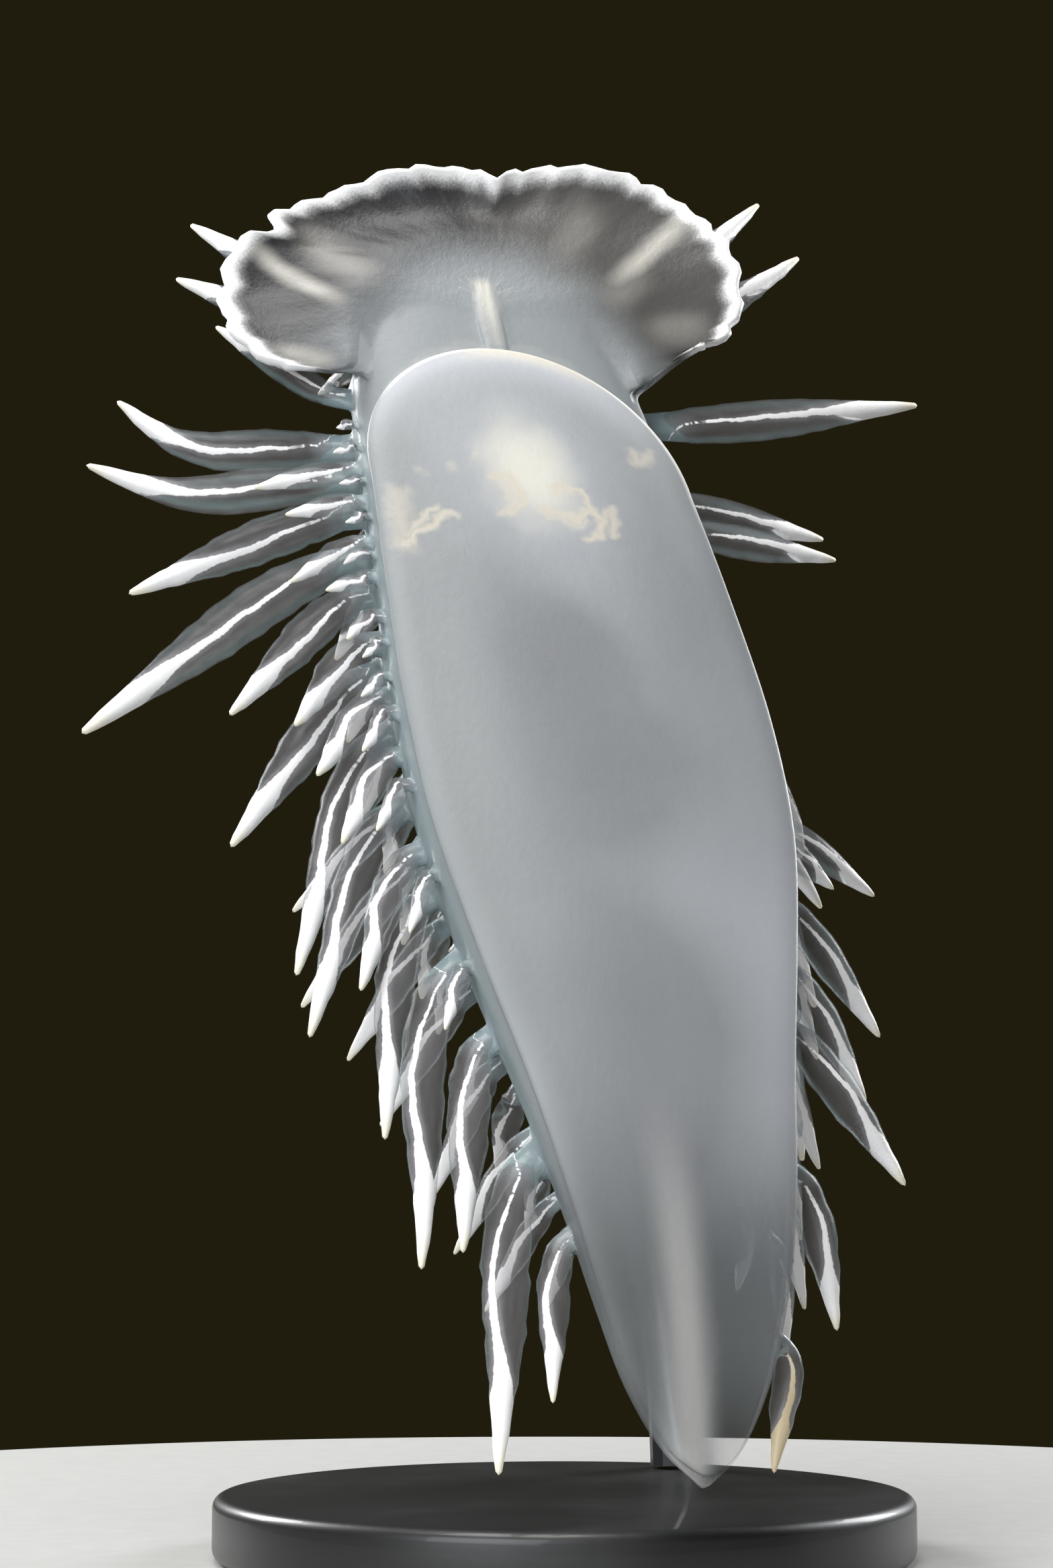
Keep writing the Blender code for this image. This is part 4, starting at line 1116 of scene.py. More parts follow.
@dataclass
class Skin:
    """The whole skin: trunk, foot, veil, lips and cerata fused to one closed surface."""

    nodes: tuple[str, ...]
    smoothing: int = 4
    smoothing_share: float = 0.6
    spread: int = 2
    spread_share: float = 0.75

    def fused(self, first: Shape, others: list[Shape]) -> None:
        """Joins other shapes to the first with one modifier.

        Args:
            first: The shape that is kept.
            others: The shapes that are joined to it and removed.
        """
        holder = bpy.data.collections.new("fused")
        bpy.context.scene.collection.children.link(holder)
        for shape in others:
            bpy.context.scene.collection.objects.unlink(shape.piece)
            holder.objects.link(shape.piece)
        joint = first.piece.modifiers.new("joint", "BOOLEAN")
        joint.operation = "UNION"
        joint.solver = "MANIFOLD"
        joint.operand_type = "COLLECTION"
        joint.collection = holder
        deselect_all()
        first.piece.select_set(True)
        bpy.context.view_layer.objects.active = first.piece
        bpy.ops.object.modifier_apply(modifier=joint.name)
        for shape in others:
            bpy.data.objects.remove(shape.piece)
        bpy.data.collections.remove(holder)

    def near_joins(self, count: int, edges: np.ndarray, owner: np.ndarray) -> np.ndarray:
        """How near each vertex is to a join between two shapes.

        Args:
            count: Number of vertices.
            edges: The two vertices of each edge.
            owner: Number of the shape that each vertex came from.

        Returns:
            1 at a join, falling to 0 a few edges away.
        """
        soft = np.zeros(count)
        soft[edges[owner[edges[:, 0]] != owner[edges[:, 1]]].ravel()] = 1.0
        for _ in range(self.spread):
            grown = soft.copy()
            np.maximum.at(grown, edges[:, 0], soft[edges[:, 1]] * self.spread_share)
            np.maximum.at(grown, edges[:, 1], soft[edges[:, 0]] * self.spread_share)
            soft = grown
        return soft

    def marked(self, mesh: bpy.types.Mesh, sources: list[Shape], spots: list[np.ndarray]) -> None:
        """Gives each vertex the marks of the nearest vertex that it came from, and eases the joins.

        Args:
            mesh: The fused mesh.
            sources: The shapes that it was fused from.
            spots: World places of each shape's vertices.
        """
        tree = kdtree.KDTree(sum(len(rows) for rows in spots))
        for index, spot in enumerate(np.vstack(spots)):
            tree.insert(spot, index)
        tree.balance()
        places = vertex_places(mesh).astype(float)
        nearest = np.array([tree.find(place)[1] for place in places])
        owner = np.repeat(np.arange(len(spots)), [len(rows) for rows in spots])[nearest]
        edges = np.empty(len(mesh.edges) * 2, dtype=int)
        mesh.edges.foreach_get("vertices", edges)
        edges = edges.reshape(-1, 2)
        soft = self.near_joins(len(places), edges, owner)
        degree = np.zeros(len(places))
        np.add.at(degree, edges.ravel(), 1.0)
        marks = {mark: np.vstack([shape.marks[mark] for shape in sources])[nearest] for mark in Mark}
        kinds = np.array([shape.tissue.value for shape in sources])[owner]
        finishes = [min(kinds[corner] for corner in face.vertices) for face in mesh.polygons]
        mesh.polygons.foreach_set("material_index", finishes)
        for values in [places, *marks.values()]:
            for _ in range(self.smoothing):
                total = np.zeros_like(values)
                np.add.at(total, edges[:, 0], values[edges[:, 1]])
                np.add.at(total, edges[:, 1], values[edges[:, 0]])
                values += (total / degree[:, None] - values) * soft[:, None] * self.smoothing_share
        mesh.vertices.foreach_set("co", places.astype(np.float32).ravel())
        for mark, values in marks.items():
            layer = mesh.attributes.new(mark.value, "FLOAT_VECTOR", "POINT")
            layer.data.foreach_set("vector", values.astype(np.float32).ravel())
        mesh.update()

    def build(self, finish: "FleshFinish") -> None:
        """Models and fuses the skin.

        Args:
            finish: The skin's finish.
        """
        mouth = Mouth()
        trunk = Trunk().shape()
        others = [Foot().shape(), Veil().shape(), mouth.lip(-1), mouth.lip(1), *CerataCoat().shapes()]
        sources = [trunk, *others]
        spots = [vertex_places(shape.piece.data) for shape in sources]
        self.fused(trunk, others)
        skin = trunk.piece
        skin.name = "slug_skin"
        skin.data.materials.clear()
        for material in (finish.body(), finish.veil(), finish.cerata()):
            skin.data.materials.append(material)
        self.marked(skin.data, sources, spots)
        skin.data.shade_smooth()
        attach(skin, "root")
        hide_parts(*self.nodes)
        log.info("slug_skin: %d triangles", sum(len(face.vertices) - 2 for face in skin.data.polygons))


@dataclass
class Rhinophores:
    """The pair of leafed feelers on the head, each on its own stalk."""

    along: float = 14.2
    side: float = 3.8
    height: float = 10.0
    leaves: int = 15
    lowest_leaf: float = 3.5
    leaf_top: float = 1.1
    leaf_radius: float = 1.35
    leaf_least: float = 0.25
    swell_start: float = 0.84
    swell_run: float = 0.66
    leaf_slant: float = 0.28
    notch: float = 0.14
    notch_half: float = 0.22
    around: int = 36
    gap: float = 0.3
    stalk: Pairs = ((1.3, -0.5), (1.1, 0.15), (0.95, 0.7), (0.86, 1.6), (0.82, 2.6), (0.95, 3.2))
    leaf: Pairs = ((0.72, 0.0), (1.0, 0.28), (0.97, 0.5), (0.7, 0.72))
    tip: Pairs = ((0.45, 0.75), (0.36, 0.4), (0.2, 0.12))

    def root(self, side: int) -> tuple[np.ndarray, np.ndarray]:
        """Point of the skin under one rhinophore, and the way out of the skin."""
        return PLAN.dome_point(self.along, side, math.acos(self.side / float(PLAN.half_width(self.along))))

    def profile(self) -> list[tuple[float, float]]:
        """Radius and height pairs from the foot of the stalk to the tip.

        Returns:
            The pairs, in millimetres.
        """
        found = list(self.stalk)
        pitch = (self.height - self.leaf_top - self.lowest_leaf) / self.leaves
        for leaf in range(self.leaves):
            level = self.lowest_leaf + leaf * pitch
            swell = math.sin(math.pi * (self.swell_start - self.swell_run * leaf / self.leaves))
            outer = self.leaf_radius * swell + self.leaf_least
            found += [(outer * share, level + rise * pitch) for share, rise in self.leaf]
        return found + [(radius, self.height - below) for radius, below in self.tip]

    def build(self, material: bpy.types.Material) -> None:
        """Models both rhinophores by extruding a ring up their profile.

        Args:
            material: The rhinophores' material.
        """
        for flank in (Flank.LEFT, Flank.RIGHT):
            name = f"rhinophore_{flank.name.lower()}"
            base, out = self.root(flank.value)
            start = POSE.placed(base)
            axis = Vector(POSE.placed(base + out) - start).normalized()
            piece = self.turned(f"{name}_leaves")
            turn = axis.to_track_quat("Z", "Y").to_matrix().to_4x4()
            piece.data.transform(turn)
            piece.data.transform(turn.Translation(Vector(start) + axis * self.gap * MM))
            piece.data.materials.append(material)
            piece.data.shade_smooth()
            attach(piece, "root")
            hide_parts(name)
            log.info("%s: %d faces", piece.name, len(piece.data.polygons))

    def turned(self, name: str) -> bpy.types.Object:
        """One rhinophore upright at the origin: a circle extruded and resized along its profile.

        Args:
            name: Name of the piece.

        Returns:
            The piece.
        """
        profile = self.profile()
        deselect_all()
        radius, level = profile[0]
        bpy.ops.mesh.primitive_circle_add(
            vertices=self.around, radius=radius * MM, fill_type="TRIFAN", location=(0, 0, level * MM)
        )
        piece = bpy.context.object
        piece.name = name
        bpy.ops.object.transform_apply(location=True)
        bpy.ops.object.mode_set(mode="EDIT")
        bpy.ops.mesh.select_all(action="SELECT")
        for wider, higher in profile[1:]:
            bpy.ops.mesh.extrude_region_move(
                TRANSFORM_OT_translate={"value": (0, 0, (higher - level) * MM)}
            )
            bpy.ops.transform.resize(
                value=(wider / radius, wider / radius, 1.0), center_override=(0, 0, higher * MM)
            )
            radius, level = wider, higher
        bpy.ops.mesh.select_all(action="SELECT")
        bpy.ops.mesh.normals_make_consistent(inside=False)
        bpy.ops.object.mode_set(mode="OBJECT")
        self.cut_leaves(piece)
        return piece

    def cut_leaves(self, piece: bpy.types.Object) -> None:
        """Slants the leaves back, as the real ones lie, and notches them at front and back.

        Args:
            piece: The upright rhinophore.
        """
        for vertex in piece.data.vertices:
            spot = vertex.co / MM
            if self.lowest_leaf - 0.1 < spot.z < self.height - 0.9:
                radius = math.hypot(spot.x, spot.y)
                beside = abs(math.sin(math.atan2(spot.x, spot.y)))
                pinch = 1 - self.notch * math.exp(-((beside / self.notch_half) ** 2))
                vertex.co.x *= pinch
                vertex.co.y *= pinch
                vertex.co.z -= self.leaf_slant * (radius - 0.8) * beside * MM


class Signal:
    """An output of a material's nodes, be it a number, a colour or a vector, and what is made of it."""

    def __init__(self, tree: bpy.types.NodeTree, socket: bpy.types.NodeSocket) -> None:
        """Holds the output and the node tree that it is in."""
        self.tree = tree
        self.socket = socket

    def node(self, kind: str, inputs: Inputs, output: int | str = 0, **settings: object) -> "Signal":
        """Adds a node to the signal's own tree, as wired does."""
        return wired(self.tree, kind, inputs, output, **settings)

    def maths(self, operation: str, *others: object) -> "Signal":
        """A sum of this number and others, by the name of a Math node's operation."""
        return self.node("Math", dict(enumerate((self, *others))), operation=operation)

    def __add__(self, other: object) -> "Signal":
        """This number plus another."""
        return self.maths("ADD", other)

    def __sub__(self, other: object) -> "Signal":
        """This number less another."""
        return self.maths("SUBTRACT", other)

    def __mul__(self, other: object) -> "Signal":
        """This number times another."""
        return self.maths("MULTIPLY", other)

    def __abs__(self) -> "Signal":
        """This number without its sign."""
        return self.maths("ABSOLUTE")

    __radd__ = __add__

    def above(self, other: object) -> "Signal":
        """The greater of two numbers."""
        return self.maths("MAXIMUM", other)

    def below(self, other: object) -> "Signal":
        """The smaller of two numbers."""
        return self.maths("MINIMUM", other)

    def clamped(self) -> "Signal":
        """The same sum, held between 0 and 1."""
        self.socket.node.use_clamp = True
        return self

    def vectors(self, operation: str, *others: object) -> "Signal":
        """A Vector Math node of this vector and others."""
        number = operation in ("LENGTH", "DISTANCE", "DOT_PRODUCT")
        inputs = dict(enumerate((self, *others)))
        return self.node("VectorMath", inputs, "Value" if number else "Vector", operation=operation)

    def stretching(self, vector: tuple[float, ...]) -> "Signal":
        """A vector times this number."""
        return self.node("VectorMath", {0: vector, "Scale": self}, "Vector", operation="SCALE")

    def step(self, low: float, high: float) -> "Signal":
        """Soft step from 0 at low to 1 at high."""
        inputs = dict(enumerate((self, low, high, 0.0, 1.0)))
        return self.node("MapRange", inputs, interpolation_type="SMOOTHSTEP")

    def between(self, first: object, second: object) -> "Signal":
        """Blend of two numbers, with this number as the second one's share."""
        return self.node("Mix", {0: self, 2: first, 3: second}, 0, data_type="FLOAT")

    def mix(self, first: object, second: object) -> "Signal":
        """Blend of two colours, with this number as the second one's share."""
        return self.node("Mix", {0: self, 6: first, 7: second}, 2, data_type="RGBA")

    def noise(self, scale: float, detail: float = 2.0, output: int | str = 0) -> "Signal":
        """Soft noise at this place: from 0 to 1 about 0.5, or as a colour of three such numbers."""
        return self.node("TexNoise", {"Vector": self, "Scale": scale, "Detail": detail}, output)

    def split(self) -> tuple["Signal", ...]:
        """The three numbers of this vector."""
        along = self.node("SeparateXYZ", {0: self})
        return tuple(Signal(self.tree, socket) for socket in along.socket.node.outputs)

    def joined(self, second: object, third: object) -> "Signal":
        """A vector of this number and two more."""
        return self.node("CombineXYZ", {0: self, 1: second, 2: third})


def feed(tree: bpy.types.NodeTree, socket: bpy.types.NodeSocket, value: object) -> None:
    """Links a signal to one input, or sets the input's own value.

    Args:
        tree: The material's node tree.
        socket: The input.
        value: A signal, a number, a vector or a colour.
    """
    if isinstance(value, Signal):
        tree.links.new(value.socket, socket)
    elif isinstance(value, tuple) and len(value) == 3 and socket.type == "RGBA":
        socket.default_value = (*value, 1.0)
    else:
        socket.default_value = value


def wired(
    tree: bpy.types.NodeTree,
    kind: str,
    inputs: Inputs,
    output: int | str = 0,
    **settings: object,
) -> Signal:
    """Adds one node to a material.

    Args:
        tree: The material's node tree.
        kind: The node's type.
        inputs: What goes into its inputs, by their numbers or names.
        output: Which output is wanted.
        settings: The node's own settings.

    Returns:
        The wanted output.
    """
    node = tree.nodes.new(f"ShaderNode{kind}")
    for name, value in settings.items():
        setattr(node, name, value)
    for key, value in inputs.items():
        feed(tree, node.inputs[key], value)
    return Signal(tree, node.outputs[output])


class Wiring:
    """One material, from its marks and places to its Principled surface."""

    def __init__(self, name: str) -> None:
        """Starts a material with a Principled surface.

        Args:
            name: Name of the material.
        """
        self.material = bpy.data.materials.new(name)
        self.material.use_nodes = True
        self.tree = self.material.node_tree
        self.surface = self.tree.nodes["Principled BSDF"]

    def source(self, kind: str, output: str, **settings: object) -> Signal:
        """An output of a node that nothing goes into."""
        return wired(self.tree, kind, {}, output, **settings)

    def mark(self, mark: Mark) -> Signal:
        """One of the skin's vector attributes."""
        return self.source("Attribute", "Vector", attribute_name=mark.value)

    def object_place(self) -> Signal:
        """Object coordinates."""
        return self.source("TexCoord", "Object")

    def bump(self, height: Signal, strength: float, distance: float) -> None:
        """Feeds a bump to the surface."""
        inputs = {"Strength": strength, "Distance": distance, "Height": height}
        self.set(Normal=wired(self.tree, "Bump", inputs))

    def set(self, **values: object) -> None:
        """Sets surface inputs, named with underscores for spaces."""
        for name, value in values.items():
            feed(self.tree, self.surface.inputs[name.replace("_", " ")], value)


@dataclass(frozen=True)
class Strand:
    """A pale strand under the skin: its points in plan, its half width and its strength."""

    points: Pairs
    width: float
    strength: float = 1.0


@dataclass(frozen=True)
class Patch:
    """A soft round patch of the sole: its centre in plan, its radius and its strength."""

    centre: tuple[float, float]
    radius: float
    strength: float


@dataclass(frozen=True)
class FleshFinish:
    """Translucent flesh with brilliant white lines, rim and tips, with painted light and shade on the sole, a
    painted highlight on its front edge and painted sheen on the cerata's edges.
    """

    white: Colour = (0.96, 0.95, 0.96)
    warm_tip: Colour = (0.93, 0.88, 0.72)
    tan_tip: Colour = (0.6, 0.5, 0.33)
    glass: Colour = (0.26, 0.255, 0.265)
    veil_dark: Colour = (0.028, 0.027, 0.029)
    veil_light: Colour = (0.092, 0.088, 0.084)
    # painted rim sheen on the cerata's edges
    blade_edge_sheen: Colour = (0.3, 0.42, 0.43)
    halo: Colour = (0.66, 0.64, 0.7)
    haze: Colour = (0.265, 0.285, 0.3)
    # light_flesh and dark_flesh: the sole's tone in painted light and in painted shade; dark_flesh also takes
    # the random mottling
    light_flesh: Colour = (0.298, 0.315, 0.325)
    dark_flesh: Colour = (0.185, 0.19, 0.205)
    # pale flesh of the sole's front band and round the glow, also used for painted light
    pale_and_lit_flesh: Colour = (0.5, 0.52, 0.56)
    flank: Colour = (0.25, 0.32, 0.34)
    cream: Colour = (0.6, 0.55, 0.46)
    fold_pale: Colour = (0.5, 0.48, 0.44)
    glow: Colour = (0.7, 0.68, 0.6)
    strands: tuple[Strand, ...] = (
        Strand(((36.4, -11.7), (38.9, -12.0), (41.3, -12.1)), 0.9, 0.65),
        Strand(((41.3, -12.1), (39.6, -10.3), (38.6, -8.4), (38.2, -7.6)), 0.44),
        Strand(((40.2, -11.8), (38.2, -10.0), (37.6, -8.6)), 0.34, 0.9),
        Strand(((34.0, -3.6), (33.8, -2.4), (34.9, -1.3), (36.3, -1.5), (37.6, -2.9)), 0.38),
        Strand(((35.0, -2.9), (36.2, -2.2), (37.6, -3.6)), 0.32, 0.8),
        Strand(
            ((36.9, 0.4), (37.6, 1.9), (37.3, 3.2), (36.3, 4.2), (34.9, 3.5), (34.3, 2.3), (34.8, 1.5)), 0.34,
        ),
        Strand(((37.4, 0.2), (38.1, 1.9), (37.9, 3.5)), 0.3, 0.7),
        Strand(((36.3, 4.2), (37.3, 5.1), (39.1, 4.4), (39.4, 3.5)), 0.4),
        Strand(((37.3, 5.1), (36.4, 6.1), (38.6, 5.6)), 0.32, 0.8),
        Strand(((30.1, 9.2), (31.2, 9.4), (30.4, 10.3)), 0.55, 0.7),
    )
    dots: tuple[Patch, ...] = (
        Patch((32.1, -4.3), 0.7, 0.6), Patch((33.1, -6.55), 0.9, 0.45), Patch((34.1, -9.4), 0.8, 0.35),
    )
    # patches of painted shade where the strength is positive, and of painted light where it is negative
    painted_light_and_shade: tuple[Patch, ...] = (
        Patch((51.5, -2.0), 8.0, 0.4), Patch((61.2, 0.5), 11.0, 0.25), Patch((84.5, -0.5), 15.0, 0.65),
        Patch((92.0, -4.2), 9.0, 0.4), Patch((44.0, 3.0), 9.0, -0.2),
        Patch((57.0, 8.0), 15.0, -0.15), Patch((76.0, 9.0), 18.0, -0.36), Patch((89.0, 6.0), 15.0, -0.38),
        Patch((90.0, -8.0), 12.0, -0.2),
    )
    folds: tuple[Strand, ...] = (
        Strand(((9.4, -20.1), (12.2, -16.6), (15.0, -12.6)), 0.7, 0.95),
        Strand(((7.2, -15.7), (10.4, -12.8), (12.8, -9.3)), 1.4, 0.42),
        Strand(((1.2, 18.4), (5.6, 15.0), (10.8, 11.6)), 0.85),
        Strand(((1.7, 9.0), (5.0, 8.1), (8.6, 6.8)), 1.5, 0.3),
        Strand(((12.9, 19.8), (15.4, 14.2)), 1.2, 0.4),
        Strand(((8.8, 14.3), (13.0, 10.9)), 1.3, 0.3),
        Strand(((20.4, -19.0), (21.1, -14.0)), 0.8, 0.7),
    )
    mouth_band: Strand = Strand(((12.7, -0.1), (14.6, 0.1), (18.6, 0.25)), 0.72, 0.75)
    mouth_centre: tuple[float, float] = (13.8, 0.05)
    glow_centre: tuple[float, float] = (33.1, -0.3)
    # painted highlight on the sole's front edge
    painted_edge_highlight: Colour = (0.95, 0.93, 0.88)
    edge_warm: Colour = (0.8, 0.74, 0.62)
    tail_stripe: Colour = (0.33, 0.315, 0.29)
    tail_margin: Colour = (0.04, 0.042, 0.045)
    water_index: float = 1.38
    grain_depth: float = 0.00012
    glow_depth: float = 0.0016

    def streak(self, place: Signal, strand: Strand) -> Signal:
        """Mask of one strand, which fades out at twice its half width.

        Args:
            place: Plan place, with the up measure left at 0.
            strand: The strand.

        Returns:
            The strand's strength along its middle, and 0 away from it.
        """
        distances = []
        for start, end in zip(strand.points[:-1], strand.points[1:]):
            run = (end[0] - start[0], end[1] - start[1], 0.0)
            apart = place.vectors("SUBTRACT", (*start, 0.0))
            share = apart.vectors("DOT_PRODUCT", run).maths("DIVIDE", run[0] ** 2 + run[1] ** 2).clamped()
            distances.append(apart.vectors("DISTANCE", share.stretching(run)))
        return reduce(Signal.below, distances).step(strand.width * 2, 0.0) * strand.strength

    def fold(self, place: Signal, strand: Strand) -> Signal:
        """Mask of one fold of the veil, which fades away toward both its ends.

        Args:
            place: Plan place.
            strand: The fold.

        Returns:
            Its mask, from 0 to its strength.
        """
        ends = np.array((strand.points[0], strand.points[-1]))
        half = float(np.linalg.norm(ends[1] - ends[0])) / 2
        off = place.vectors("DISTANCE", (*ends.mean(axis=0).tolist(), 0.0))
        return self.streak(place, strand) * off.step(half * 1.5, half * 0.3)

    def patch(self, place: Signal, patch: Patch) -> Signal:
        """Mask of one soft round patch."""
        return place.vectors("DISTANCE", (*patch.centre, 0.0)).step(patch.radius, 0.0) * patch.strength

    def bent(self, slug: Signal, place: Signal, scale: float, reach: float) -> Signal:
        """Plan place pushed about a little, so that what is drawn by it runs unevenly."""
        warp = slug.noise(scale, output="Color").vectors("SUBTRACT", (0.5, 0.5, 0.5))
        return place.vectors("ADD", warp.vectors("MULTIPLY", (reach, reach, 0.0)))

    def haze_share(self, slug: Signal) -> Signal:
        """How milky the veil is: fully so round the mouth, clear further out.

        Args:
            slug: Place in the slug's frame.

        Returns:
            Share from 0 to 1.
        """
        along, side, _ = slug.split()
        ahead = (along - 16.2).below(0.0) * 1.15
        across = side * along.step(13.0, 20.0).between(0.87, 0.62)
        reach = ahead.joined(across, 0.0).vectors("LENGTH") + (slug.noise(0.22) - 0.5) * 2.4
        return reach.step(13.0, 4.4)

    def head_tone(self, slug: Signal) -> Signal:
        """Colour of the head's underside and the veil: milky round the mouth, smoky further out.

        Args:
            slug: Place in the slug's frame.

        Returns:
            The colour.
        """
        _, side, _ = slug.split()
        smoky = side.step(-6.0, 6.0).mix(self.veil_dark, self.veil_light)
        return self.haze_share(slug).mix(smoky, self.haze)

    def plain(self, slug: Signal) -> Signal:
        """Colour of the flesh away from any mark, the same in every kind of flesh: random mottling, and
        painted shade that darkens the animal's left side from station 22 back.

        Args:
            slug: Place in the slug's frame.

        Returns:
            The colour.
        """
        along, side, up = slug.split()
        cloud = slug.noise(0.06) - 0.5
        mottle = slug.noise(0.5, 3.0) - 0.5
        # painted shade: the animal's left side darker, growing from station 22 to 50
        shade = side.step(-11.0, 2.0) * 0.62 * along.step(22.0, 50.0)
        shade = (shade + cloud * 0.5 + mottle * 0.14).clamped()
        stripes = slug.vectors("MULTIPLY", (3.0, 0.35, 0.35)).noise(0.9)
        flank = (up.step(2.0, 4.5) * stripes.between(0.45, 1.1)).clamped()
        return flank.mix(shade.mix(self.light_flesh, self.dark_flesh), self.flank)

    def mouth(self, place: Signal) -> Signal:
        """Mask of the pale band down the mouth and the fibres that fan out ahead of it.

        Args:
            place: Plan place.

        Returns:
            Share from 0 to 1.
        """
        along, _, _ = place.split()
        band = self.streak(place, self.mouth_band) * along.step(19.0, 13.5).between(0.3, 1.0)
        apart = place.vectors("SUBTRACT", (*self.mouth_centre, 0.0))
        ahead, across, _ = apart.split()
        fibres = across.maths("ARCTAN2", ahead).joined(0.0, 0.0).noise(9.0).step(0.5, 0.72)
        ring = apart.vectors("LENGTH").step(3.6, 1.0) * ahead.step(0.6, -1.0)
        return band.above(fibres * ring * 0.5)

    def grain(self, wiring: Wiring, slug: Signal, strength: float, white: Signal | None = None) -> None:
        """Fine pebbling of the skin, with the white pigment standing a little proud.

        Args:
            wiring: The material.
            slug: Place in the slug's frame.
            strength: Strength of the bump.
            white: Mask of the white pigment, if any.
        """
        height = slug.noise(1.5) + slug.noise(4.5) * 0.5
        if white is not None:
            height = height + white * 0.7
        wiring.bump(height, strength, self.grain_depth)

    def shaded(self, colour: Signal, place: Signal, under: Signal) -> Signal:
        """The sole's colour with patches of painted shade and painted light.

        Args:
            colour: The colour so far.
            place: Plan place.
            under: Mask of the underside.

        Returns:
            The new colour.
        """
        # painted shade and painted light: positive patches darken toward dark_flesh, negative ones lighten
        # toward the pale flesh
        shade = sum(self.patch(place, patch) for patch in self.painted_light_and_shade) * under
        colour = shade.above(0.0).mix(colour, self.dark_flesh)
        return (shade * -1.0).above(0.0).mix(colour, self.pale_and_lit_flesh)

    def glowing(self, colour: Signal, slug: Signal, place: Signal, under: Signal) -> Signal:
        """The sole's colour with the pale glow behind its front edge.

        Args:
            colour: The colour so far.
            slug: Place in the slug's frame.
            place: Plan place.
            under: Mask of the underside.

        Returns:
            The new colour.
        """
        apart = place.vectors("SUBTRACT", (*self.glow_centre, 0.0)).vectors("MULTIPLY", (0.8, 1.1, 0.0))
        off = apart.vectors("LENGTH") + (slug.noise(0.3, 1.0) - 0.5) * 2.2
        colour = (off.step(12.0, 1.5) * under * 0.55).mix(colour, self.pale_and_lit_flesh)
        return (off.step(6.4, 0.6) * under * 0.85).mix(colour, self.glow)

    def flecked(self, colour: Signal, slug: Signal, place: Signal, under: Signal) -> Signal:
        """The sole's colour with the cream strands and dots under its skin.

        Args:
            colour: The colour so far.
            slug: Place in the slug's frame.
            place: Plan place.
            under: Mask of the underside.

        Returns:
            The new colour.
        """
        bent = self.bent(slug, place, 0.55, 2.2)
        marks = [self.streak(bent, strand) for strand in self.strands]
        marks += [self.patch(bent, dot) for dot in self.dots]
        return (reduce(Signal.above, marks) * under * 0.8).mix(colour, self.cream)

    def body(self) -> bpy.types.Material:
        """Material of the sole, the trunk and the tail.

        Returns:
            The material.
        """
        wiring = Wiring("body_flesh")
        slug = wiring.mark(Mark.SLUG)
        along, side, up = slug.split()
        inset, _, _ = wiring.mark(Mark.MARGIN).split()
        place = along.joined(side, 0.0)
        under = up.step(2.2, 1.0)
        colour = self.shaded(self.plain(slug), place, under)
        front = inset.step(5.5, 0.8) * (along.step(33.0, 21.0) * 0.9) * under
        colour = front.mix(colour, self.pale_and_lit_flesh)
        colour = self.glowing(colour, slug, place, under)
        colour = self.flecked(colour, slug, place, under)
        # painted highlight: a thin bright line on the sole's front edge, reaching further back on the
        # animal's left
        fade = side.step(-7.0, 0.0).between(along.step(27.0, 22.5), along.step(40.0, 25.0))
        line = inset.step(0.55, 0.15) * fade * up.step(2.0, 1.2)
        colour = line.mix(colour, self.painted_edge_highlight)
        warm = inset.step(2.2, 0.3) * along.step(25.0, 20.5) * side.step(-6.0, 0.0) * 0.7 * under
        colour = warm.mix(colour, self.edge_warm)
        head = along.step(29.0, 24.0) * inset.step(8.6, 9.6) * up.step(5.5, 2.5)
        colour = head.mix(colour, self.head_tone(slug))
        colour = (self.mouth(place) * (head * under)).mix(colour, self.glow)
        tail = along.step(88.0, 108.0)
        stripe = abs(side + 0.9).step(2.7, 0.2) * tail
        colour = (stripe * 0.5).mix(colour, self.tail_stripe)
        clear = (tail - stripe).clamped()
        colour = (clear * 0.35).mix(colour, self.tail_margin)
        end = (along.step(107.0, 118.0) - stripe).clamped()
        alpha = clear.between(1.0, 0.46) * end.between(1.0, 0.3)
        self.grain(wiring, slug, 0.2)
        wiring.set(Base_Color=colour, Alpha=alpha, Roughness=0.4, IOR=self.water_index)
        wiring.set(Subsurface_Weight=0.3, Subsurface_Scale=self.glow_depth)
        wiring.set(Subsurface_Radius=(1.0, 1.0, 1.05))
        return wiring.material

    def veil(self) -> bpy.types.Material:
        """Material of the oral veil.

        Returns:
            The material.
        """
        wiring = Wiring("veil_flesh")
        slug = wiring.mark(Mark.SLUG)
        along, side, _ = slug.split()
        rim, out, travel = wiring.mark(Mark.MARGIN).split()
        place = along.joined(side, 0.0)
        wobble = travel.joined(0.0, 0.0).noise(0.55, 1.0) - 0.5
        grains = slug.noise(5.0, 3.0) - 0.5
        reach = rim + wobble * 0.6 + grains * 0.7
        band = reach.step(1.3, 0.5)
        bloom = reach.step(2.0, 0.6) * 0.45
        rays = travel.joined(out * 0.3, 0.0).noise(1.1).step(0.3, 0.8) * out.step(0.1, 0.6)
        colour = (rays * 0.08).mix(self.head_tone(slug), self.haze)
        colour = bloom.mix(colour, self.white)
        bent = self.bent(slug, place, 0.3, 0.5)
        fold = reduce(Signal.above, [self.fold(bent, strand) for strand in self.folds])
        fold = fold * rim.step(0.2, 1.4)
        colour = fold.mix(colour, self.fold_pale)
        mouth = self.mouth(place)
        colour = mouth.mix(colour, self.glow)
        colour = band.mix(colour, self.white)
        alpha = self.haze_share(slug).between(0.93, 1.0).above(fold).above(mouth).above(band)
        self.grain(wiring, slug, 0.3, band)
        wiring.set(Base_Color=colour, Alpha=alpha, Roughness=0.38, IOR=self.water_index)
        return wiring.material

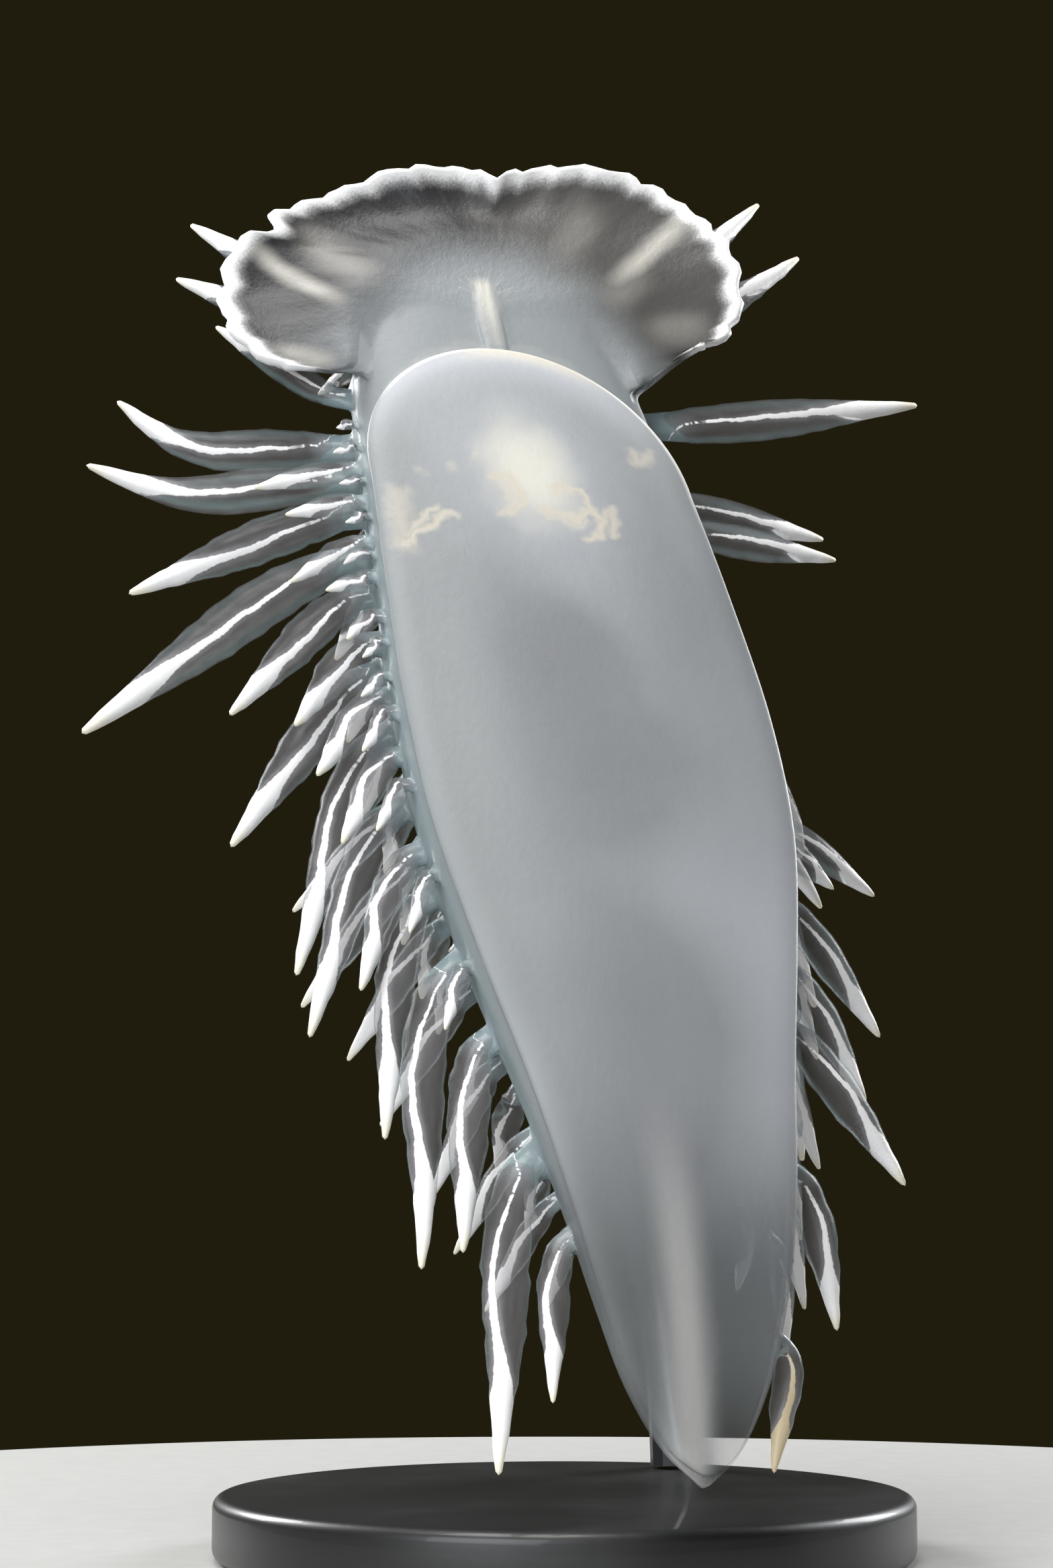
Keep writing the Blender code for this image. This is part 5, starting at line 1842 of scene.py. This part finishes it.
    def cerata(self) -> bpy.types.Material:
        """Material of the cerata: clear blades with a white line that widens to a white tip, and painted
        sheen along the blades' edges.

        Returns:
            The material.
        """
        wiring = Wiring("cerata_flesh")
        slug = wiring.mark(Mark.SLUG)
        along, side, _ = slug.split()
        share, cos, sin = wiring.mark(Mark.BLADE).split()
        girth, length, seed = wiring.mark(Mark.BLADE_SIZE).split()
        thin, shift, _ = wiring.mark(Mark.MARGIN).split()
        run = share * length
        own = seed * 90.0
        place = run.joined(own, sin * 0.5)
        wander = run.joined(own, 0.0).noise(0.4, 1.0) - 0.5
        ragged = place.noise(2.4, 3.0) - 0.5
        centre = shift + wander * 0.3
        hidden = cos.step(0.12, -0.12) * share.step(0.62, 0.84).between(1.5, 0.0)
        off = abs(sin - centre) * girth + hidden + ragged * 0.22
        width = share.step(0.05, 0.5).between(0.1, 0.25)
        width = width + share.step(0.42, 0.78) * 0.16 + share.step(0.62, 0.9) * 0.7
        width = width * length.step(3.0, 12.0).between(0.45, 1.0)
        beads = place.noise(1.3).step(0.4, 0.5)
        line = (width - off).step(-0.03, 0.07) * share.step(0.14, 0.3).between(beads, 1.0)
        halo = (off - width).step(0.75, 0.0) * share.step(0.1, 0.6).between(0.16, 0.42)
        # painted sheen: the blades' side edges tinted pale teal and made more opaque, as a bright rim
        edge = thin.step(0.88, 1.0)
        streaks = (run * 0.2).joined(own, sin).noise(3.5)
        root = share.step(0.2, 0.02)
        colour = edge.mix(self.glass, self.blade_edge_sheen)
        colour = halo.mix(colour, self.halo)
        # the roots take the body's plain colour, its painted shade included
        colour = root.mix(colour, self.plain(slug))
        tan = along.step(104.0, 112.0) * side.step(1.0, 3.0)
        pale = share.step(0.88, 1.0).above(tan).mix(self.white, self.warm_tip)
        colour = line.mix(colour, tan.mix(pale, self.tan_tip))
        alpha = edge.between(streaks.between(0.1, 0.34), 0.45)
        alpha = root.between(alpha, 0.95).above(line.above(halo))
        self.grain(wiring, slug, 0.25, line)
        wiring.set(Base_Color=colour, Alpha=alpha, Roughness=line.between(0.22, 0.4), IOR=self.water_index)
        return wiring.material


@dataclass(frozen=True)
class RhinophoreFinish:
    """Frosted flesh of the rhinophores, whiter along the edges of the leaves."""

    flesh: Colour = (0.5, 0.54, 0.58)
    leaf_edge: Colour = (0.85, 0.86, 0.87)

    def material(self) -> bpy.types.Material:
        """Builds the rhinophores' material.

        Returns:
            The material.
        """
        wiring = Wiring("rhinophore_flesh")
        speckle = wiring.object_place().noise(2600.0, 3.0)
        ridge = wiring.source("NewGeometry", "Pointiness").step(0.5, 0.56)
        share = (ridge * speckle.between(0.6, 1.2)).clamped()
        wiring.set(Base_Color=share.mix(self.flesh, self.leaf_edge), Roughness=0.35)
        wiring.set(Alpha=0.93, IOR=1.38, Subsurface_Weight=0.4, Subsurface_Scale=0.001)
        wiring.bump(speckle, 0.2, 0.00006)
        return wiring.material


@dataclass(frozen=True)
class StandFinish:
    """Satin black paint of the stand: fine orange peel and a little dust."""

    paint: Colour = (0.012, 0.012, 0.013)
    dust: Colour = (0.05, 0.05, 0.052)

    def material(self) -> bpy.types.Material:
        """Builds the stand's material.

        Returns:
            The material.
        """
        wiring = Wiring("stand_paint")
        place = wiring.object_place()
        patches = place.noise(60.0, 4.0)
        dust = patches.step(0.45, 0.75) * 0.35
        wiring.set(Base_Color=dust.mix(self.paint, self.dust))
        wiring.set(Roughness=patches.between(0.34, 0.48), IOR=1.5, Coat_Weight=0.15)
        wiring.bump(place.noise(900.0), 0.12, 0.0001)
        return wiring.material


@dataclass
class Stand:
    """The round base, the rod and the pad that carry the slug, with smooth rounded rims."""

    around: int = 128
    base_edge: float = 0.9
    edge_segments: int = 5

    def build(self, material: bpy.types.Material) -> None:
        """Models the base anew and paints the rod and the pad, whose shapes are kept.

        Args:
            material: The stand's paint.
        """
        low, high = (Vector(corner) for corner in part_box("stand_base"))
        deselect_all()
        bpy.ops.mesh.primitive_cylinder_add(
            vertices=self.around, radius=(high.x - low.x) / 2, depth=high.z - low.z, location=(low + high) / 2
        )
        base = bpy.context.object
        base.name = "stand_base_turned"
        bpy.ops.object.transform_apply(location=True)
        bpy.ops.object.mode_set(mode="EDIT")
        bpy.ops.mesh.select_mode(type="FACE")
        bpy.ops.mesh.select_all(action="DESELECT")
        cage = bmesh.from_edit_mesh(base.data)
        for face in cage.faces:
            face.select_set(len(face.verts) > 4)
        bmesh.update_edit_mesh(base.data)
        bpy.ops.mesh.bevel(offset=self.base_edge * MM, segments=self.edge_segments, affect="EDGES")
        bpy.ops.object.mode_set(mode="OBJECT")
        bpy.ops.object.shade_smooth_by_angle(angle=math.radians(30))
        base.data.materials.append(material)
        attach(base, "root")
        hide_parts("stand_base")
        log.info("%s: %d faces", base.name, len(base.data.polygons))
        for name in ("stand_rod", "stand_pad"):
            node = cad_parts[name]
            node.data.materials.clear()
            node.data.materials.append(material)
            log.info("%s: painted", name)


@dataclass
class Studio:
    """The pale floor, the dark surround, the soft lights and the camera."""

    floor_radius: float = 0.115
    floor_thickness: float = 0.006
    floor_middle: float = -0.0031
    floor_around: int = 160
    floor_edge: float = 0.002
    floor_dark: Colour = (0.36, 0.36, 0.35)
    floor_light: Colour = (0.42, 0.42, 0.41)
    surround_tone: Colour = (0.0145, 0.0118, 0.0045)
    aim: Place = (0.0, 0.0, 0.07)
    camera_place: Place = (-3.0, -277.7, 32.7)
    pitch: float = 6.0
    focal_pixels: float = 5094.0
    sensor: float = 36.0

    def floor(self) -> None:
        """A round, matt, pale floor with a soft rounded edge."""
        deselect_all()
        bpy.ops.mesh.primitive_cylinder_add(
            vertices=self.floor_around,
            radius=self.floor_radius,
            depth=self.floor_thickness,
            location=(0, 0, self.floor_middle),
        )
        floor = bpy.context.object
        floor.name = "floor"
        bpy.ops.object.transform_apply(location=True)
        bevel = floor.modifiers.new("edge", "BEVEL")
        bevel.width = self.floor_edge
        bevel.segments = 3
        bpy.ops.object.modifier_apply(modifier=bevel.name)
        bpy.ops.object.shade_smooth_by_angle(angle=math.radians(40))
        wiring = Wiring("floor_pale")
        grain = wiring.object_place().noise(350.0, 4.0)
        wiring.set(Base_Color=grain.mix(self.floor_dark, self.floor_light), Roughness=0.7)
        wiring.bump(grain, 0.08, 0.0003)
        floor.data.materials.append(wiring.material)

    def surround(self) -> None:
        """A dark, even surround."""
        world = bpy.data.worlds.new("surround")
        world.use_nodes = True
        world.node_tree.nodes["Background"].inputs["Color"].default_value = (*self.surround_tone, 1.0)
        world.node_tree.nodes["Background"].inputs["Strength"].default_value = 1.0
        bpy.context.scene.world = world
        bpy.context.scene.view_settings.view_transform = "Standard"
        bpy.context.scene.cycles.transparent_max_bounces = 32

    def light(self, name: str, place: Place, size: float, power: float, colour: Colour) -> None:
        """A square soft light turned to the slug.

        Args:
            name: Name of the light.
            place: Where it hangs, in metres.
            size: Length of its side.
            power: Its power in watts.
            colour: Its colour.
        """
        data = bpy.data.lights.new(name, "AREA")
        data.size = size
        data.energy = power
        data.color = colour
        lamp = bpy.data.objects.new(name, data)
        lamp.location = place
        aim = Vector(self.aim) - Vector(place)
        lamp.rotation_euler = aim.to_track_quat("-Z", "Y").to_euler()
        bpy.context.scene.collection.objects.link(lamp)

    def lights(self) -> None:
        """Top light, soft front light and two rim lights from behind."""
        self.light("top", (-0.10, -0.16, 0.62), 0.34, 3.6, (1.0, 0.99, 0.97))
        self.light("front", (-0.25, -0.52, 0.22), 0.4, 3.0, (0.95, 0.98, 1.0))
        self.light("rim_left", (-0.38, 0.32, 0.30), 0.22, 3.0, (1.0, 1.0, 1.0))
        self.light("rim_right", (0.38, 0.30, 0.24), 0.22, 2.5, (0.96, 0.98, 1.0))

    def camera(self) -> None:
        """The photo's view: the sole seen from the front and a little from below."""
        data = bpy.data.cameras.new("camera")
        data.sensor_fit = "AUTO"
        data.sensor_width = self.sensor
        data.lens = self.focal_pixels / max(PHOTO_WIDTH, PHOTO_HEIGHT) * self.sensor
        data.clip_start = 0.01
        data.clip_end = 10.0
        camera = bpy.data.objects.new("camera", data)
        camera.location = np.array(self.camera_place) * MM
        camera.rotation_euler = (math.radians(90.0 + self.pitch), 0.0, 0.0)
        bpy.context.scene.collection.objects.link(camera)
        bpy.context.scene.camera = camera


def main() -> None:
    """Builds the studio, the slug and its stand."""
    logging.basicConfig(level=logging.INFO, format="%(name)s: %(message)s")
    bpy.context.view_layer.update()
    studio = Studio()
    studio.camera()
    studio.floor()
    studio.surround()
    studio.lights()
    flesh_nodes = tuple(
        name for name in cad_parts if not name.startswith(("stand_", "rhinophore_"))
    )
    Skin(flesh_nodes).build(FleshFinish())
    Rhinophores().build(RhinophoreFinish().material())
    Stand().build(StandFinish().material())


if __name__ == "__main__":
    main()
